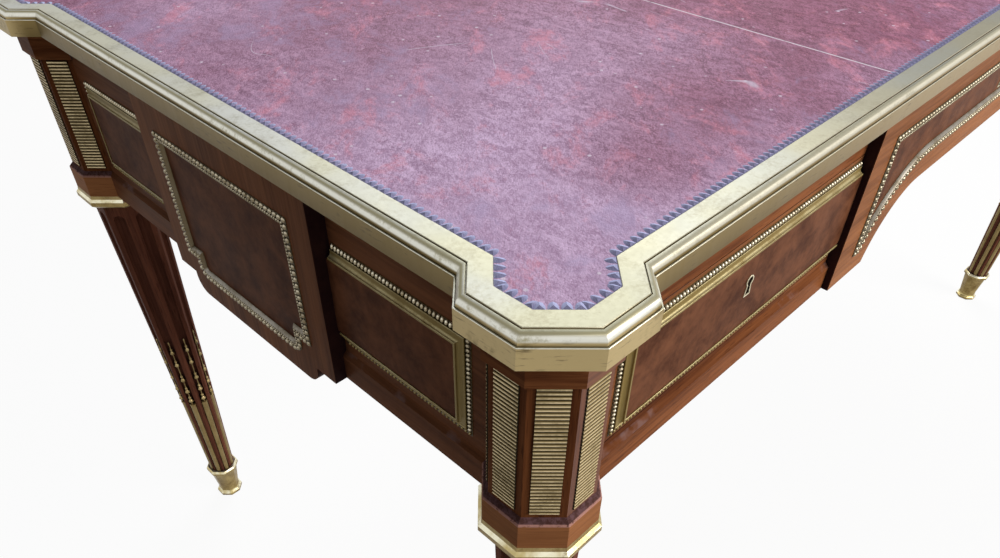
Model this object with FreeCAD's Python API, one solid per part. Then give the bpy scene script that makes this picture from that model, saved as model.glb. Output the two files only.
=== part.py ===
import FreeCAD, Part
import os
from math import asin, cos, pi, sin, sqrt, tan

# A bureau plat: a flat-topped writing desk on four octagonal legs, with drawers along the front,
# a false front on the back, a leather writing surface and gilt-brass mounts.
# Millimetres, +Z up, the front faces -Y, the origin lies on the floor under the middle of the desk.

os.makedirs("parts", exist_ok=True)
Vector = FreeCAD.Vector

# Overall sizes
height = 770.0
leg_spacing_x = 1420.0
leg_spacing_y = 662.0

# Top: panel, leather and brass edge. Apothems are measured from the leg axes.
edge_apothem = 56.5
edge_corner_step = 20.0
edge_drop = 23.0
edge_wall = 3.5
edge_band_width = 22.0
edge_plate = 3.0
edge_groove_width = 0.8
edge_groove_depth = 1.2
edge_round_width = 5.6
edge_round_drop = 6.6
edge_round_steps = 6
edge_arris_drop = 1.0
edge_arris_set = 0.9
leather_thickness = 2.4

# Corner posts
shaft_apothem = 37.2
cap_apothem = 41.7
cap_height = 27.0
base_apothem = 41.5
base_height = 24.5
base_bevel_rise = 4.5

# Reeded panels in the posts
reed_width = 20.0
reed_count = 35
reed_bulge = 1.3
reed_seat = 1.0
reed_margin_low = 3.5
reed_margin_high = 2.5

# Legs, collars and sabots
neck_apothem = 36.0
collar_height = 15.0
collar_nose = 44.5
collar_nose_lift = 3.6
collar_nose_height = 4.8
collar_lip_drop = 3.8
collar_lip_set = 0.6
leg_top_apothem = 32.5
leg_low_apothem = 17.0
leg_tip_apothem = 11.5
leg_tip_height = 8.0
flute_margin = 16.0
flute_top_radius = 7.0
flute_low_radius = 4.2
flute_axis_set = 1.0
sabot_height = 62.0
sabot_rim_height = 8.0
sabot_rim_apothem = 22.5
sabot_body_apothem = 19.6
sabot_ankle_apothem = 14.6
sabot_foot_radius = 18.0
sabot_foot_height = 6.0
sabot_foot_round = 1.0

# Chandelles: the brass rods in the flutes and their finials
chandelle_top = 217.0
chandelle_clearance = 0.2
chandelle_proud = 1.2
finial_length = 123.0
finial_radius = 3.4
finial_stem = 1.2
finial_husks = 5
finial_cap_height = 4.0
finial_sink = 1.0
finial_husk_half = 6.0
finial_taper = 0.4
finial_tip = 0.5

# Frieze: boards, rails and stiles between the posts
frieze_height = 179.0
board_thickness = 20.0
rail_line = 19.5
rail_inside = 24.0
rail_strip = 6.0
top_rail_height = 40.2
drawer_gap = 0.8
stile_width = 10.5
tenon_length = 18.0
tenon_thickness = 10.0
tenon_shoulder = 7.0
raised_panel_height = 4.7

# Tablets on the ends
tablet_line = 30.7
tablet_width = 257.0
tablet_ledge = 27.5
tablet_drop = 20.5
tablet_corner_radius = 16.0

# Centre drawer front
block_line = 26.0
block_width = 651.0
block_thickness = 22.0
block_head_gap = 1.5
block_foot = 70.0
arch_run = 79.5
arch_rise = 64.0
block_close_gap = 0.5

# Brass frames
frame_inset = 3.7
frame_end_gap = 3.0
frame_width = 13.0
frame_bead_width = 3.9
frame_bead_height = 2.4
frame_hollow_low = 1.2
frame_hollow_high = 4.2
frame_fillet_width = 2.6
frame_fillet_height = 5.5
frame_fillet_round = 0.5
bead_frame_width = 6.0
bead_frame_height = 3.0
bead_frame_crest = 3.6
bead_frame_lip = 1.8
panel_recess = 2.0
tablet_frame_side = 28.5
tablet_frame_head = 31.5
tablet_frame_ledge = 24.0
tablet_frame_step = 16.0
tablet_frame_foot = 25.0
tablet_frame_radius = 8.0
block_frame_side = 35.5
block_frame_head = 33.0
block_frame_arch = 28.0
block_frame_foot = 22.0
arc_steps = 12

# Drawer boxes
lining = 10.0
front_thickness = 20.0
drawer_back_gap = 18.0
drawer_back_set = 5.0
side_drop = 6.0
back_drop = 5.0
bottom_lift = 4.5
bottom_thickness = 5.0
bottom_groove = 4.0
side_drawer_inset = 5.5
centre_drawer_lift = 9.0
running_gap = 0.3
guide_gap = 0.5

# Dividers, runners and kickers
divider_thickness = 20.0
divider_set = 3.5
runner_width = 30.0
runner_behind_stile = 3.5
runner_height = 30.0
runner_guide = 20.0
centre_runner_height = 18.0
kicker_gap = 2.0
kicker_height = 28.0

# Locks and keyhole plates
lock_width = 46.0
lock_thickness = 10.0
lock_height = 53.0
bolt_width = 16.0
bolt_thickness = 5.0
bolt_length = 26.0
bolt_travel = 8.0
bolt_set = 6.5
bolt_clearance = 0.3
mortise_clearance = 0.8
side_keyhole_drop = 40.0
plate_radius = 4.8
plate_neck = 2.9
plate_tail = 17.0
plate_flare = 5.2
plate_thickness = 1.2
keyhole_radius = 2.0
keyhole_slot = 9.0
keyhole_slot_width = 1.8

# Screws that hold the top to the rails
screw_radius = 2.2
screw_head_radius = 4.2
screw_head_height = 3.0
screw_bite = 12.0
screw_pocket = 15.0
screw_pocket_radius = 5.0
screw_clearance = 0.1
screw_places_x = (150.0, 560.0)
screw_from_axis = 8.0

# Places worked out from the sizes above
leg_x = leg_spacing_x / 2
leg_y = leg_spacing_y / 2
octagon_half = tan(pi / 8)
top_underside = height - edge_drop
panel_top = height - edge_plate
panel_apothem = edge_apothem - edge_wall
leather_apothem = edge_apothem - edge_band_width
base_bottom = top_underside - frieze_height
base_top = base_bottom + base_height
bevel_top = base_top + base_bevel_rise
cap_bottom = top_underside - cap_height
ground_line = shaft_apothem * octagon_half
collar_bottom = base_bottom - collar_height
post_inner_x = leg_x - shaft_apothem
post_inner_y = leg_y - shaft_apothem
ground_x = leg_x + ground_line
ground_y = leg_y + ground_line
rail_inner_y = leg_y - rail_inside
rail_head = bevel_top + rail_strip
drawer_floor = rail_head + drawer_gap
top_rail_bottom = top_underside - top_rail_height
drawer_head = top_rail_bottom - drawer_gap
side_head = drawer_head - side_drop
back_head = side_head - back_drop
drawer_back_y = rail_inner_y - drawer_back_gap
block_half = block_width / 2
block_front_y = leg_y + block_line
block_back_y = block_front_y - block_thickness
divider_outer_x = block_half - divider_set
divider_inner_x = divider_outer_x - divider_thickness
divider_end_y = block_back_y - block_close_gap
stile_inner_x = post_inner_x - stile_width
front_outer_x = stile_inner_x - drawer_gap
front_inner_x = block_half + drawer_gap
side_front_back_y = ground_y - front_thickness
raised_front_y = ground_y + raised_panel_height
block_bottom = base_bottom
block_head = top_underside - block_head_gap
arch_radius = (arch_run ** 2 + arch_rise ** 2) / (2 * arch_rise)
arch_top = block_bottom + arch_rise
arch_centre_x = block_half - block_foot - arch_run
arch_centre_z = arch_top - arch_radius
centre_drawer_floor = arch_top + centre_drawer_lift
frame_from_post = shaft_apothem + stile_width + drawer_gap + frame_inset
frame_top = drawer_head - frame_inset
frame_bottom = drawer_floor + frame_inset
block_frame_top = top_underside - block_frame_head
panel_from_post = frame_from_post + frame_width
panel_bottom = frame_bottom + frame_width
panel_head = frame_top - frame_width
side_lock_x = (post_inner_x + block_half) / 2
side_keyhole_z = drawer_head - side_keyhole_drop
centre_keyhole_z = (arch_top + block_frame_arch + block_frame_top) / 2
flute_top = collar_bottom - flute_margin
reed_low = bevel_top + reed_margin_low
reed_high = cap_bottom - reed_margin_high


# Simple solids

def box(x0, x1, y0, y1, z0, z1):
    """A box between the given limits, in any order."""
    low = Vector(min(x0, x1), min(y0, y1), min(z0, z1))
    return Part.makeBox(abs(x1 - x0), abs(y1 - y0), abs(z1 - z0), low)


def polygon_face(points):
    return Part.Face(Part.makePolygon(points + [points[0]]))


def prism(points, z0, z1):
    """A plan outline of (x, y) points, raised from z0 to z1."""
    return polygon_face([Vector(x, y, z0) for x, y in points]).extrude(Vector(0, 0, z1 - z0))


def mirror_x(shape):
    return shape.mirror(Vector(0, 0, 0), Vector(1, 0, 0))


def mirror_y(shape):
    return shape.mirror(Vector(0, 0, 0), Vector(0, 1, 0))


def four_corners(shape):
    """The piece at the front left corner, copied to the other three."""
    pair = [shape, mirror_x(shape)]
    return pair + [mirror_y(copy) for copy in pair]


def fused(shapes):
    return shapes[0].multiFuse(shapes[1:]).removeSplitter()


def octagon_points(apothem):
    radius = apothem / cos(pi / 8)
    return [(radius * cos(pi / 8 + k * pi / 4), radius * sin(pi / 8 + k * pi / 4)) for k in range(8)]


def octagon_stack(profile):
    """An octagonal block about the Z axis, from (apothem, z) sections in rising order."""
    rings = [[Vector(x, y, z) for x, y in octagon_points(apothem)] for apothem, z in profile]
    faces = [polygon_face(rings[0]), polygon_face(rings[-1])]
    for low, high in zip(rings, rings[1:]):
        for k in range(8):
            after = (k + 1) % 8
            faces.append(polygon_face([low[k], low[after], high[after], high[k]]))
    return Part.Solid(Part.Shell(faces))


def octagon_taper(low_apothem, low_z, high_apothem, high_z):
    return octagon_stack([(low_apothem, low_z), (high_apothem, high_z)])


def octagon_prism(apothem, z0, z1):
    return octagon_taper(apothem, z0, apothem, z1)


def at_front_left(shape):
    return shape.translated(Vector(-leg_x, -leg_y, 0))


# Mouldings with mitred corners

def offset_path(points, distance, closed):
    """The path moved to the left of its direction, with mitred corners and square ends."""
    count = len(points)
    moved = []
    for i in range(count):
        normals = []
        for start in (i - 1, i):
            if closed or 0 <= start < count - 1:
                ax, ay = points[start % count]
                bx, by = points[(start + 1) % count]
                length = sqrt((bx - ax) ** 2 + (by - ay) ** 2)
                normals.append((-(by - ay) / length, (bx - ax) / length))
        first, last = normals[0], normals[-1]
        share = distance / (1 + first[0] * last[0] + first[1] * last[1])
        x, y = points[i]
        moved.append((x + share * (first[0] + last[0]), y + share * (first[1] + last[1])))
    return moved


def moulding(paths, levels, place, closed, in_lengths):
    """Solids swept along parallel paths. paths[j] is the plan of profile point j at levels[j].

    place turns a plan point and a level into a vector. in_lengths gives one mitred solid per stretch,
    otherwise the whole run is one solid."""
    count = len(paths[0])
    sections = [[place(path[i], level) for path, level in zip(paths, levels)] for i in range(count)]
    stretches = count if closed else count - 1
    sides = []
    for i in range(stretches):
        near, far = sections[i], sections[(i + 1) % count]
        stretch = []
        for j in range(len(levels)):
            after = (j + 1) % len(levels)
            stretch.append(polygon_face([near[j], far[j], far[after], near[after]]))
        sides.append(stretch)
    if in_lengths:
        solids = []
        for i in range(stretches):
            ends = [polygon_face(sections[i]), polygon_face(sections[(i + 1) % count])]
            solids.append(Part.Solid(Part.Shell(sides[i] + ends)))
        return solids
    faces = [face for stretch in sides for face in stretch]
    if not closed:
        faces += [polygon_face(sections[0]), polygon_face(sections[-1])]
    return [Part.Solid(Part.Shell(faces))]


def framed(path, profile, place, closed):
    """A moulding along one path; profile points are (distance inside the path, height)."""
    paths = [offset_path(path, distance, closed) for distance, level in profile]
    return moulding(paths, [level for distance, level in profile], place, closed, False)[0]


# Top

def plan_outline(apothem):
    """The plan of the desk at an apothem: straight runs with octagonal corners standing out of them."""
    run = apothem - edge_corner_step
    side = apothem * octagon_half
    meet = apothem * sqrt(2) - run
    corner = [(-run, meet), (-apothem, side), (-apothem, -side)]
    corner += [(-side, -apothem), (side, -apothem), (meet, -run)]
    points = [(-leg_x + x, -leg_y + y) for x, y in corner]
    points += [(-x, y) for x, y in reversed(points)]
    return points + [(-x, -y) for x, y in points]


def level_place(point, level):
    return Vector(point[0], point[1], level)


def top_edge():
    """The brass edge in mitred lengths: a flat band, a groove, a rounded nose, an arris and a deep face."""
    groove = edge_apothem - edge_round_width - edge_arris_set / 2 - edge_groove_width
    nose_start = groove + edge_groove_width
    nose_top = height - edge_groove_depth / 2
    nose_low = height - edge_round_drop
    profile = [(leather_apothem, panel_top), (leather_apothem, height), (groove, height)]
    profile += [(groove, height - edge_groove_depth), (nose_start, height - edge_groove_depth)]
    for i in range(edge_round_steps + 1):
        turn = i * pi / 2 / edge_round_steps
        out = nose_start + edge_round_width * sin(turn)
        profile.append((out, nose_low + (nose_top - nose_low) * cos(turn)))
    profile += [(edge_apothem - edge_arris_set, nose_low - edge_arris_drop / 2)]
    profile += [(edge_apothem, nose_low - edge_arris_drop), (edge_apothem, top_underside)]
    profile += [(panel_apothem, top_underside), (panel_apothem, panel_top)]
    paths = [plan_outline(apothem) for apothem, level in profile]
    return moulding(paths, [level for apothem, level in profile], level_place, True, True)


def screw_places():
    y = leg_y - screw_from_axis
    return [(sx * x, sy * y) for x in screw_places_x for sx in (-1, 1) for sy in (-1, 1)]


def screw(extra):
    """A wood screw from its pocket in a rail up into the top; extra widens it into its hole."""
    head_low = top_rail_bottom + screw_pocket
    shank_low = head_low + screw_head_height
    shank = Part.makeCylinder(screw_radius + extra, top_underside + screw_bite + extra - shank_low,
                              Vector(0, 0, shank_low))
    head = Part.makeCone(screw_head_radius + extra, screw_radius + extra, screw_head_height,
                         Vector(0, 0, head_low))
    return fused([head, shank])


def screw_hole():
    pocket = Part.makeCylinder(screw_pocket_radius, screw_pocket, Vector(0, 0, top_rail_bottom))
    return fused([pocket, screw(screw_clearance)])


def at_screws(shape):
    return [shape.translated(Vector(x, y, 0)) for x, y in screw_places()]


# Legs and what is on them

def leg_tip():
    return octagon_taper(leg_tip_apothem, leg_tip_height, leg_low_apothem, sabot_height)


def leg_taper(extra):
    return octagon_taper(leg_low_apothem + extra, sabot_height, leg_top_apothem + extra, collar_bottom)


def face_point(z, outward):
    """A point on the middle of a leg face at a height, moved outward from the face."""
    share = (z - sabot_height) / (collar_bottom - sabot_height)
    apothem = leg_low_apothem + share * (leg_top_apothem - leg_low_apothem)
    return Vector(apothem + outward, 0, z)


def flute_radius(z):
    flute_head = flute_top - flute_top_radius
    share = (z - sabot_height) / (flute_head - sabot_height)
    return flute_low_radius + share * (flute_top_radius - flute_low_radius)


def flute():
    """A tapering round flute on the +X face, with a round head."""
    start = face_point(sabot_height, flute_axis_set)
    end = face_point(flute_top - flute_top_radius, flute_axis_set)
    run = end - start
    hollow = Part.makeCone(flute_low_radius, flute_top_radius, run.Length, start, run)
    return fused([hollow, Part.makeSphere(flute_top_radius, end)])


def around(shape, turns):
    """The piece on the +X face, turned to other faces of the octagon, in eighths of a turn."""
    return [shape.rotated(Vector(0, 0, 0), Vector(0, 0, 1), 45 * turn) for turn in turns]


exposed_faces = (3, 4, 5, 6, 7)


def inside_quadrant(z0, z1):
    """The part of the front left corner that lies behind the frieze faces."""
    return box(-ground_line, leg_x, -ground_line, leg_y, z0, z1)


def post_head():
    """The octagonal post above the collar, with its cap and base only where they show."""
    shaft = octagon_prism(shaft_apothem, base_bottom, top_underside)
    cap = octagon_prism(cap_apothem, cap_bottom, top_underside)
    base = octagon_prism(base_apothem, base_bottom, base_top)
    bevel = octagon_taper(base_apothem, base_top, shaft_apothem, bevel_top)
    hidden = inside_quadrant(base_bottom, top_underside)
    return fused([shaft, cap.cut(hidden), fused([base, bevel]).cut(hidden)])


def reed_plate():
    """A reeded brass plate on the +X face of a post: a flat back and half-round reeds."""
    pitch = (reed_high - reed_low) / reed_count
    back = shaft_apothem - reed_seat
    start = -reed_width / 2
    low = Vector(back, start, reed_low)
    high = Vector(back, start, reed_high)
    edges = [Part.makeLine(high, low), Part.makeLine(low, Vector(shaft_apothem, start, reed_low))]
    for i in range(reed_count):
        z = reed_low + i * pitch
        crest = Vector(shaft_apothem + reed_bulge, start, z + pitch / 2)
        ends = Vector(shaft_apothem, start, z), Vector(shaft_apothem, start, z + pitch)
        edges.append(Part.Arc(ends[0], crest, ends[1]).toShape())
    edges.append(Part.makeLine(Vector(shaft_apothem, start, reed_high), high))
    return Part.Face(Part.Wire(edges)).extrude(Vector(0, reed_width, 0))


def reed_seat_cut():
    half = reed_width / 2
    return box(shaft_apothem - reed_seat, shaft_apothem + reed_bulge, -half, half, reed_low, reed_high)


def front_tenon(z0, z1):
    """A rail's tenon in the front left post."""
    half = tenon_thickness / 2
    return box(-post_inner_x - tenon_length, -post_inner_x, -leg_y - half, -leg_y + half,
               z0 + tenon_shoulder, z1 - tenon_shoulder)


def end_tenon():
    """An end board's tenon in the front left post."""
    middle = -ground_x + board_thickness / 2
    half = tenon_thickness / 2
    return box(middle - half, middle + half, -post_inner_y - tenon_length, -post_inner_y,
               base_bottom + tenon_shoulder, top_underside - tenon_shoulder)


def leg():
    """The front left leg and post in one piece of wood."""
    neck = octagon_prism(neck_apothem, collar_bottom, base_bottom)
    taper = leg_taper(0)
    for cut in around(flute(), range(8)):
        taper = taper.cut(cut)
    whole = fused([post_head(), neck, taper, leg_tip()])
    for cut in around(reed_seat_cut(), exposed_faces):
        whole = whole.cut(cut)
    whole = at_front_left(whole)
    tenons = [front_tenon(top_rail_bottom, top_underside), front_tenon(base_bottom, rail_head), end_tenon()]
    for tenon in tenons:
        whole = whole.cut(tenon)
    return whole


def collar():
    """The brass collar round the neck: a rising hollow, a rounded nose and a flat underside."""
    nose_low = collar_bottom + collar_nose_lift
    inner_nose = (collar_nose + neck_apothem) / 2
    profile = [(neck_apothem, collar_bottom), (inner_nose, collar_bottom), (collar_nose, nose_low)]
    profile += [(collar_nose, nose_low + collar_nose_height)]
    profile += [(base_apothem + collar_lip_set, base_bottom - collar_lip_drop)]
    profile += [(base_apothem, base_bottom), (neck_apothem, base_bottom)]
    paths = [octagon_points(apothem) for apothem, level in profile]
    levels = [level for apothem, level in profile]
    return at_front_left(moulding(paths, levels, level_place, True, False)[0])


def sabot():
    """The cast brass shoe: an octagonal cup with a rim, on a small round foot."""
    rim_low = sabot_height - sabot_rim_height
    rim = octagon_prism(sabot_rim_apothem, rim_low, sabot_height)
    body = octagon_taper(sabot_ankle_apothem, sabot_foot_height, sabot_body_apothem, rim_low)
    foot = Part.makeCone(sabot_foot_radius - sabot_foot_round, sabot_foot_radius, sabot_foot_round)
    disc = Part.makeCylinder(sabot_foot_radius, sabot_foot_height - sabot_foot_round,
                             Vector(0, 0, sabot_foot_round))
    whole = fused([rim, body, foot, disc]).cut(leg_tip())
    return at_front_left(whole)


def laid_along(shape, start, end):
    """A piece that rises from the origin, moved so that it rises from start towards end."""
    shape.Placement = FreeCAD.Placement(start, FreeCAD.Rotation(Vector(0, 0, 1), end - start))
    return shape


def chandelle_rod():
    """The low part of a chandelle: an eight-sided rod in the flute, a little proud of the face."""
    low = sabot_height + chandelle_clearance
    start = face_point(low, flute_axis_set)
    end = face_point(chandelle_top, flute_axis_set)
    low_apothem = (flute_radius(low) - chandelle_clearance) * cos(pi / 8)
    top_apothem = (flute_radius(chandelle_top) - chandelle_clearance) * cos(pi / 8)
    rod = octagon_taper(low_apothem, 0, top_apothem, (end - start).Length)
    return laid_along(rod, start, end).common(leg_taper(chandelle_proud))


def chandelle_finial():
    """The stack of husks above the rod, dwindling to a point."""
    step = (finial_length - finial_cap_height) / (finial_husks + 1)
    outline = [(finial_radius, 0), (finial_radius, finial_cap_height)]
    for i in range(finial_husks):
        swell = finial_radius * (1 - finial_taper * i / finial_husks)
        middle = finial_cap_height + step * (i + 0.5)
        outline += [(finial_stem, middle - finial_husk_half), (swell, middle)]
        outline.append((finial_stem, middle + finial_husk_half))
    outline.append((finial_tip, finial_length))
    outward = flute_axis_set - flute_radius(chandelle_top) + finial_radius + 2 * chandelle_clearance
    start = face_point(chandelle_top - finial_sink, outward)
    return laid_along(octagon_stack(outline), start, face_point(chandelle_top, outward))


def chandelle():
    return fused([chandelle_rod(), chandelle_finial()])


# Ends

def end_board():
    """The left end: one board between the posts with a bevelled plinth and two raised panels."""
    inner = -ground_x + board_thickness
    rail_x = -(leg_x + rail_line)
    outline = [(inner, base_bottom), (rail_x, base_bottom), (rail_x, base_top)]
    outline += [(-ground_x, bevel_top), (-ground_x, top_underside), (inner, top_underside)]
    face = polygon_face([Vector(x, -leg_y, z) for x, z in outline])
    board = face.extrude(Vector(0, leg_spacing_y, 0))
    posts = at_front_left(post_head())
    board = board.cut(posts).cut(mirror_y(posts)).cut(end_tablet_block())
    raised = box(-ground_x - raised_panel_height, -ground_x, -leg_y + panel_from_post, -tablet_width / 2,
                 panel_bottom, panel_head)
    return fused([board, raised, mirror_y(raised), end_tenon(), mirror_y(end_tenon())])


def half_outline_wire(half_points, arc_after, arc_middle, place):
    """A closed wire from the right half of a symmetric outline, with one arc on each side."""
    edges = []
    for sign in (1, -1):
        points = [place(sign * u, z) for u, z in half_points]
        middle = place(sign * arc_middle[0], arc_middle[1])
        for i in range(len(points) - 1):
            if i == arc_after:
                edges.append(Part.Arc(points[i], middle, points[i + 1]).toShape())
            else:
                edges.append(Part.makeLine(points[i], points[i + 1]))
    first, last = half_points[0], half_points[-1]
    edges.append(Part.makeLine(place(first[0], first[1]), place(-first[0], first[1])))
    edges.append(Part.makeLine(place(last[0], last[1]), place(-last[0], last[1])))
    return Part.Wire(Part.__sortEdges__(edges))


def end_place(u, z):
    return Vector(-ground_x, u, z)


def end_tablet_block():
    """The left tablet's solid outline, with a ledge and a rounded drop at its foot."""
    half = tablet_width / 2
    drop_half = half - tablet_ledge
    low = base_bottom - tablet_drop
    points = [(half, top_underside), (half, base_bottom), (drop_half, base_bottom)]
    points += [(drop_half, low + tablet_corner_radius), (drop_half - tablet_corner_radius, low)]
    give = tablet_corner_radius * (1 - sqrt(0.5))
    face = Part.Face(half_outline_wire(points, 3, (drop_half - give, low + give), end_place))
    return face.extrude(Vector(ground_line - tablet_line, 0, 0))


def arc_points(centre, radius, start, end):
    """Points along an arc in the plane of a frame, from one angle to another."""
    steps = [start + (end - start) * i / arc_steps for i in range(arc_steps + 1)]
    return [(centre[0] + radius * cos(a), centre[1] + radius * sin(a)) for a in steps]


def symmetric(half_points):
    return half_points + [(-u, z) for u, z in reversed(half_points)]


def tablet_frame_path():
    """The outer line of a tablet's beaded frame, as (along, z) points, clockwise from its top."""
    half = tablet_width / 2 - tablet_frame_side
    step = half - tablet_frame_step
    head = top_underside - tablet_frame_head
    ledge = base_bottom + tablet_frame_ledge
    foot = base_bottom - tablet_drop + tablet_frame_foot
    radius = tablet_frame_radius
    points = [(half, head), (half, ledge), (step, ledge)]
    points += arc_points((step - radius, foot + radius), radius, 0, -pi / 2)
    return list(reversed(symmetric(points)))


def bead_profile():
    """A beaded frame's section: a strip that carries the beads and a lower inner slope."""
    return [(0, 0), (0, bead_frame_height), (bead_frame_crest, bead_frame_height),
            (bead_frame_width, bead_frame_lip), (bead_frame_width, 0)]


def panel_cut(path, place, depth):
    """The shallow recess inside a beaded frame."""
    inner = offset_path(path, bead_frame_width, True)
    face = polygon_face([place(point, 0) for point in inner])
    return face.extrude(place((0, 0), -depth) - place((0, 0), 0))


def tablet_place(point, level):
    return Vector(-(leg_x + tablet_line) - level, point[0], point[1])


def end_tablet():
    return end_tablet_block().cut(panel_cut(tablet_frame_path(), tablet_place, panel_recess))


def frame_profile():
    """A three-sided frame's section: a bead strip, a hollow and a raised fillet."""
    fillet = frame_width - frame_fillet_width
    hollow = (frame_bead_width + fillet) / 2
    points = [(0, 0), (0, frame_bead_height), (frame_bead_width, frame_bead_height)]
    points += [(frame_bead_width, frame_hollow_low), (hollow, frame_hollow_low), (fillet, frame_hollow_high)]
    points += [(fillet, frame_fillet_height), (frame_width - frame_fillet_round, frame_fillet_height)]
    return points + [(frame_width, frame_fillet_height - frame_fillet_round), (frame_width, 0)]


def three_sided(inner_end, place):
    """A frame with an open side: along the top, down beside the post and back along the bottom."""
    path = [(inner_end, frame_top), (frame_from_post, frame_top)]
    path += [(frame_from_post, frame_bottom), (inner_end, frame_bottom)]
    return framed(path, frame_profile(), place, False)


def end_mounts():
    """The left end's brass: a three-sided frame on each side of the tablet and the tablet's own frame."""
    inner_end = leg_y - tablet_width / 2 - frame_end_gap
    frame = three_sided(inner_end, lambda p, level: Vector(-ground_x - level, -leg_y + p[0], p[1]))
    beads = framed(tablet_frame_path(), bead_profile(), tablet_place, True)
    return [frame, mirror_y(frame), beads]


# Front and back frieze

def block_cut(extra):
    """The space the arched centre front takes out of the rails."""
    half = block_half + extra
    return box(-half, half, -block_front_y, -divider_end_y, base_bottom, top_underside)


def bolt_mortise(x, back_y):
    """The mortise that a lock's bolt shoots up into."""
    half = bolt_width / 2 + mortise_clearance
    deep = bolt_thickness / 2 + mortise_clearance
    y = back_y + bolt_set
    return box(x - half, x + half, y - deep, y + deep, top_rail_bottom,
               top_rail_bottom + bolt_travel + mortise_clearance)


def plain_top_rail():
    """The rail over the drawers, from post to post, cut back behind the centre front."""
    rail = box(-leg_x, leg_x, -ground_y, -rail_inner_y, top_rail_bottom, top_underside)
    posts = at_front_left(post_head())
    rail = rail.cut(posts).cut(mirror_x(posts)).cut(block_cut(block_close_gap))
    tenon = front_tenon(top_rail_bottom, top_underside)
    return fused([rail, tenon, mirror_x(tenon)])


def bored(rail):
    for hole in at_screws(screw_hole()):
        rail = rail.cut(hole)
    return rail


def front_top_rail():
    rail = bored(plain_top_rail())
    for x in (-side_lock_x, side_lock_x):
        rail = rail.cut(bolt_mortise(x, -side_front_back_y))
    return rail.cut(bolt_mortise(0, -block_back_y))


def bottom_rail():
    """The left front rail under a side drawer: a bevelled plinth with a plain strip above it."""
    rail_y = -(leg_y + rail_line)
    outline = [(-rail_inner_y, base_bottom), (rail_y, base_bottom), (rail_y, base_top)]
    outline += [(-ground_y, bevel_top), (-ground_y, rail_head), (-rail_inner_y, rail_head)]
    face = polygon_face([Vector(-leg_x, y, z) for y, z in outline])
    rail = face.extrude(Vector(leg_x - divider_outer_x, 0, 0))
    rail = rail.cut(at_front_left(post_head())).cut(block_cut(block_close_gap))
    return fused([rail, front_tenon(base_bottom, rail_head)])


def stile():
    return box(-post_inner_x, -stile_inner_x, -ground_y, -rail_inner_y, rail_head, top_rail_bottom)


def block_place(point, level):
    return Vector(point[0], -block_front_y - level, point[1])


def block_solid(back_y, head):
    """The arched centre front: a foot at each side and an arch that rises to a level middle."""
    foot_x = block_half - block_foot
    points = [(block_half, head), (block_half, block_bottom), (foot_x, block_bottom)]
    points.append((arch_centre_x, arch_top))
    middle = (arch_centre_x + arch_radius * sin(pi / 4), arch_centre_z + arch_radius * cos(pi / 4))
    wire = half_outline_wire(points, 2, middle, lambda u, z: Vector(u, -block_front_y, z))
    return Part.Face(wire).extrude(Vector(0, block_front_y - back_y, 0))


def block_frame_path():
    """The outer line of the centre front's beaded frame, following the arch at an even distance."""
    side = block_half - block_frame_side
    radius = arch_radius + block_frame_arch
    foot = block_bottom + block_frame_foot
    foot_angle = asin((foot - arch_centre_z) / radius)
    points = [(side, block_frame_top), (side, foot)]
    points += arc_points((arch_centre_x, arch_centre_z), radius, foot_angle, pi / 2)
    return list(reversed(symmetric(points)))


def block_front(back_y, head):
    return block_solid(back_y, head).cut(panel_cut(block_frame_path(), block_place, panel_recess))


def front_place(p, level):
    return Vector(-leg_x + p[0], -ground_y - level, p[1])


def side_frame():
    return three_sided(leg_x - front_inner_x - frame_end_gap, front_place)


def side_raised_panel():
    """The raised panel of the left drawer's front, which the frame borders on three sides."""
    return box(-leg_x + panel_from_post, -front_inner_x, -raised_front_y, -ground_y, panel_bottom, panel_head)


def block_frame():
    return framed(block_frame_path(), bead_profile(), block_place, True)


# Inside the carcass

def divider():
    """The left divider between a side drawer and the knee space."""
    board = box(-divider_outer_x, -divider_inner_x, -divider_end_y, divider_end_y, base_bottom, top_underside)
    rail = plain_top_rail()
    return board.cut(rail).cut(mirror_y(rail))


def strip(inner_x, outer_x, z0, z1):
    """A strip of the left half that runs from the front rails to the back rails."""
    return box(-outer_x, -inner_x, -rail_inner_y, rail_inner_y, z0, z1)


def drawer_runners():
    """The runners under the drawers; those of the side drawers have a guide strip along one edge."""
    head = drawer_floor - running_gap
    low = head - runner_height
    guide_head = head + runner_guide
    outer_x = stile_inner_x + runner_behind_stile
    outer_guide = front_outer_x - side_drawer_inset + guide_gap
    inner_guide = front_inner_x + side_drawer_inset - guide_gap
    outer = fused([strip(outer_x - runner_width, outer_x, low, head),
                   strip(outer_guide, outer_x, head, guide_head)])
    inner = fused([strip(divider_outer_x, divider_outer_x + runner_width, low, head),
                   strip(divider_outer_x, inner_guide, head, guide_head)])
    centre_head = centre_drawer_floor - running_gap
    centre_low = centre_head - centre_runner_height
    centre = strip(divider_inner_x - runner_width, divider_inner_x, centre_low, centre_head)
    left = [outer, inner, centre]
    return left + [mirror_x(piece) for piece in left]


def drawer_kickers():
    """The strips above the drawer sides that keep an open drawer from tipping."""
    low = side_head + kicker_gap
    outer_edges = (stile_inner_x + runner_behind_stile, divider_outer_x + runner_width, divider_inner_x)
    left = [strip(outer - runner_width, outer, low, low + kicker_height) for outer in outer_edges]
    return left + [mirror_x(piece) for piece in left]


# Drawers

def keyhole(x, z, front_y, depth):
    """The keyhole through a plate, a drawer front and a lock."""
    eye = Part.makeCylinder(keyhole_radius, depth, Vector(x, front_y, z), Vector(0, 1, 0))
    half = keyhole_slot_width / 2
    return fused([eye, box(x - half, x + half, front_y, front_y + depth, z - keyhole_slot, z)])


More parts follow.
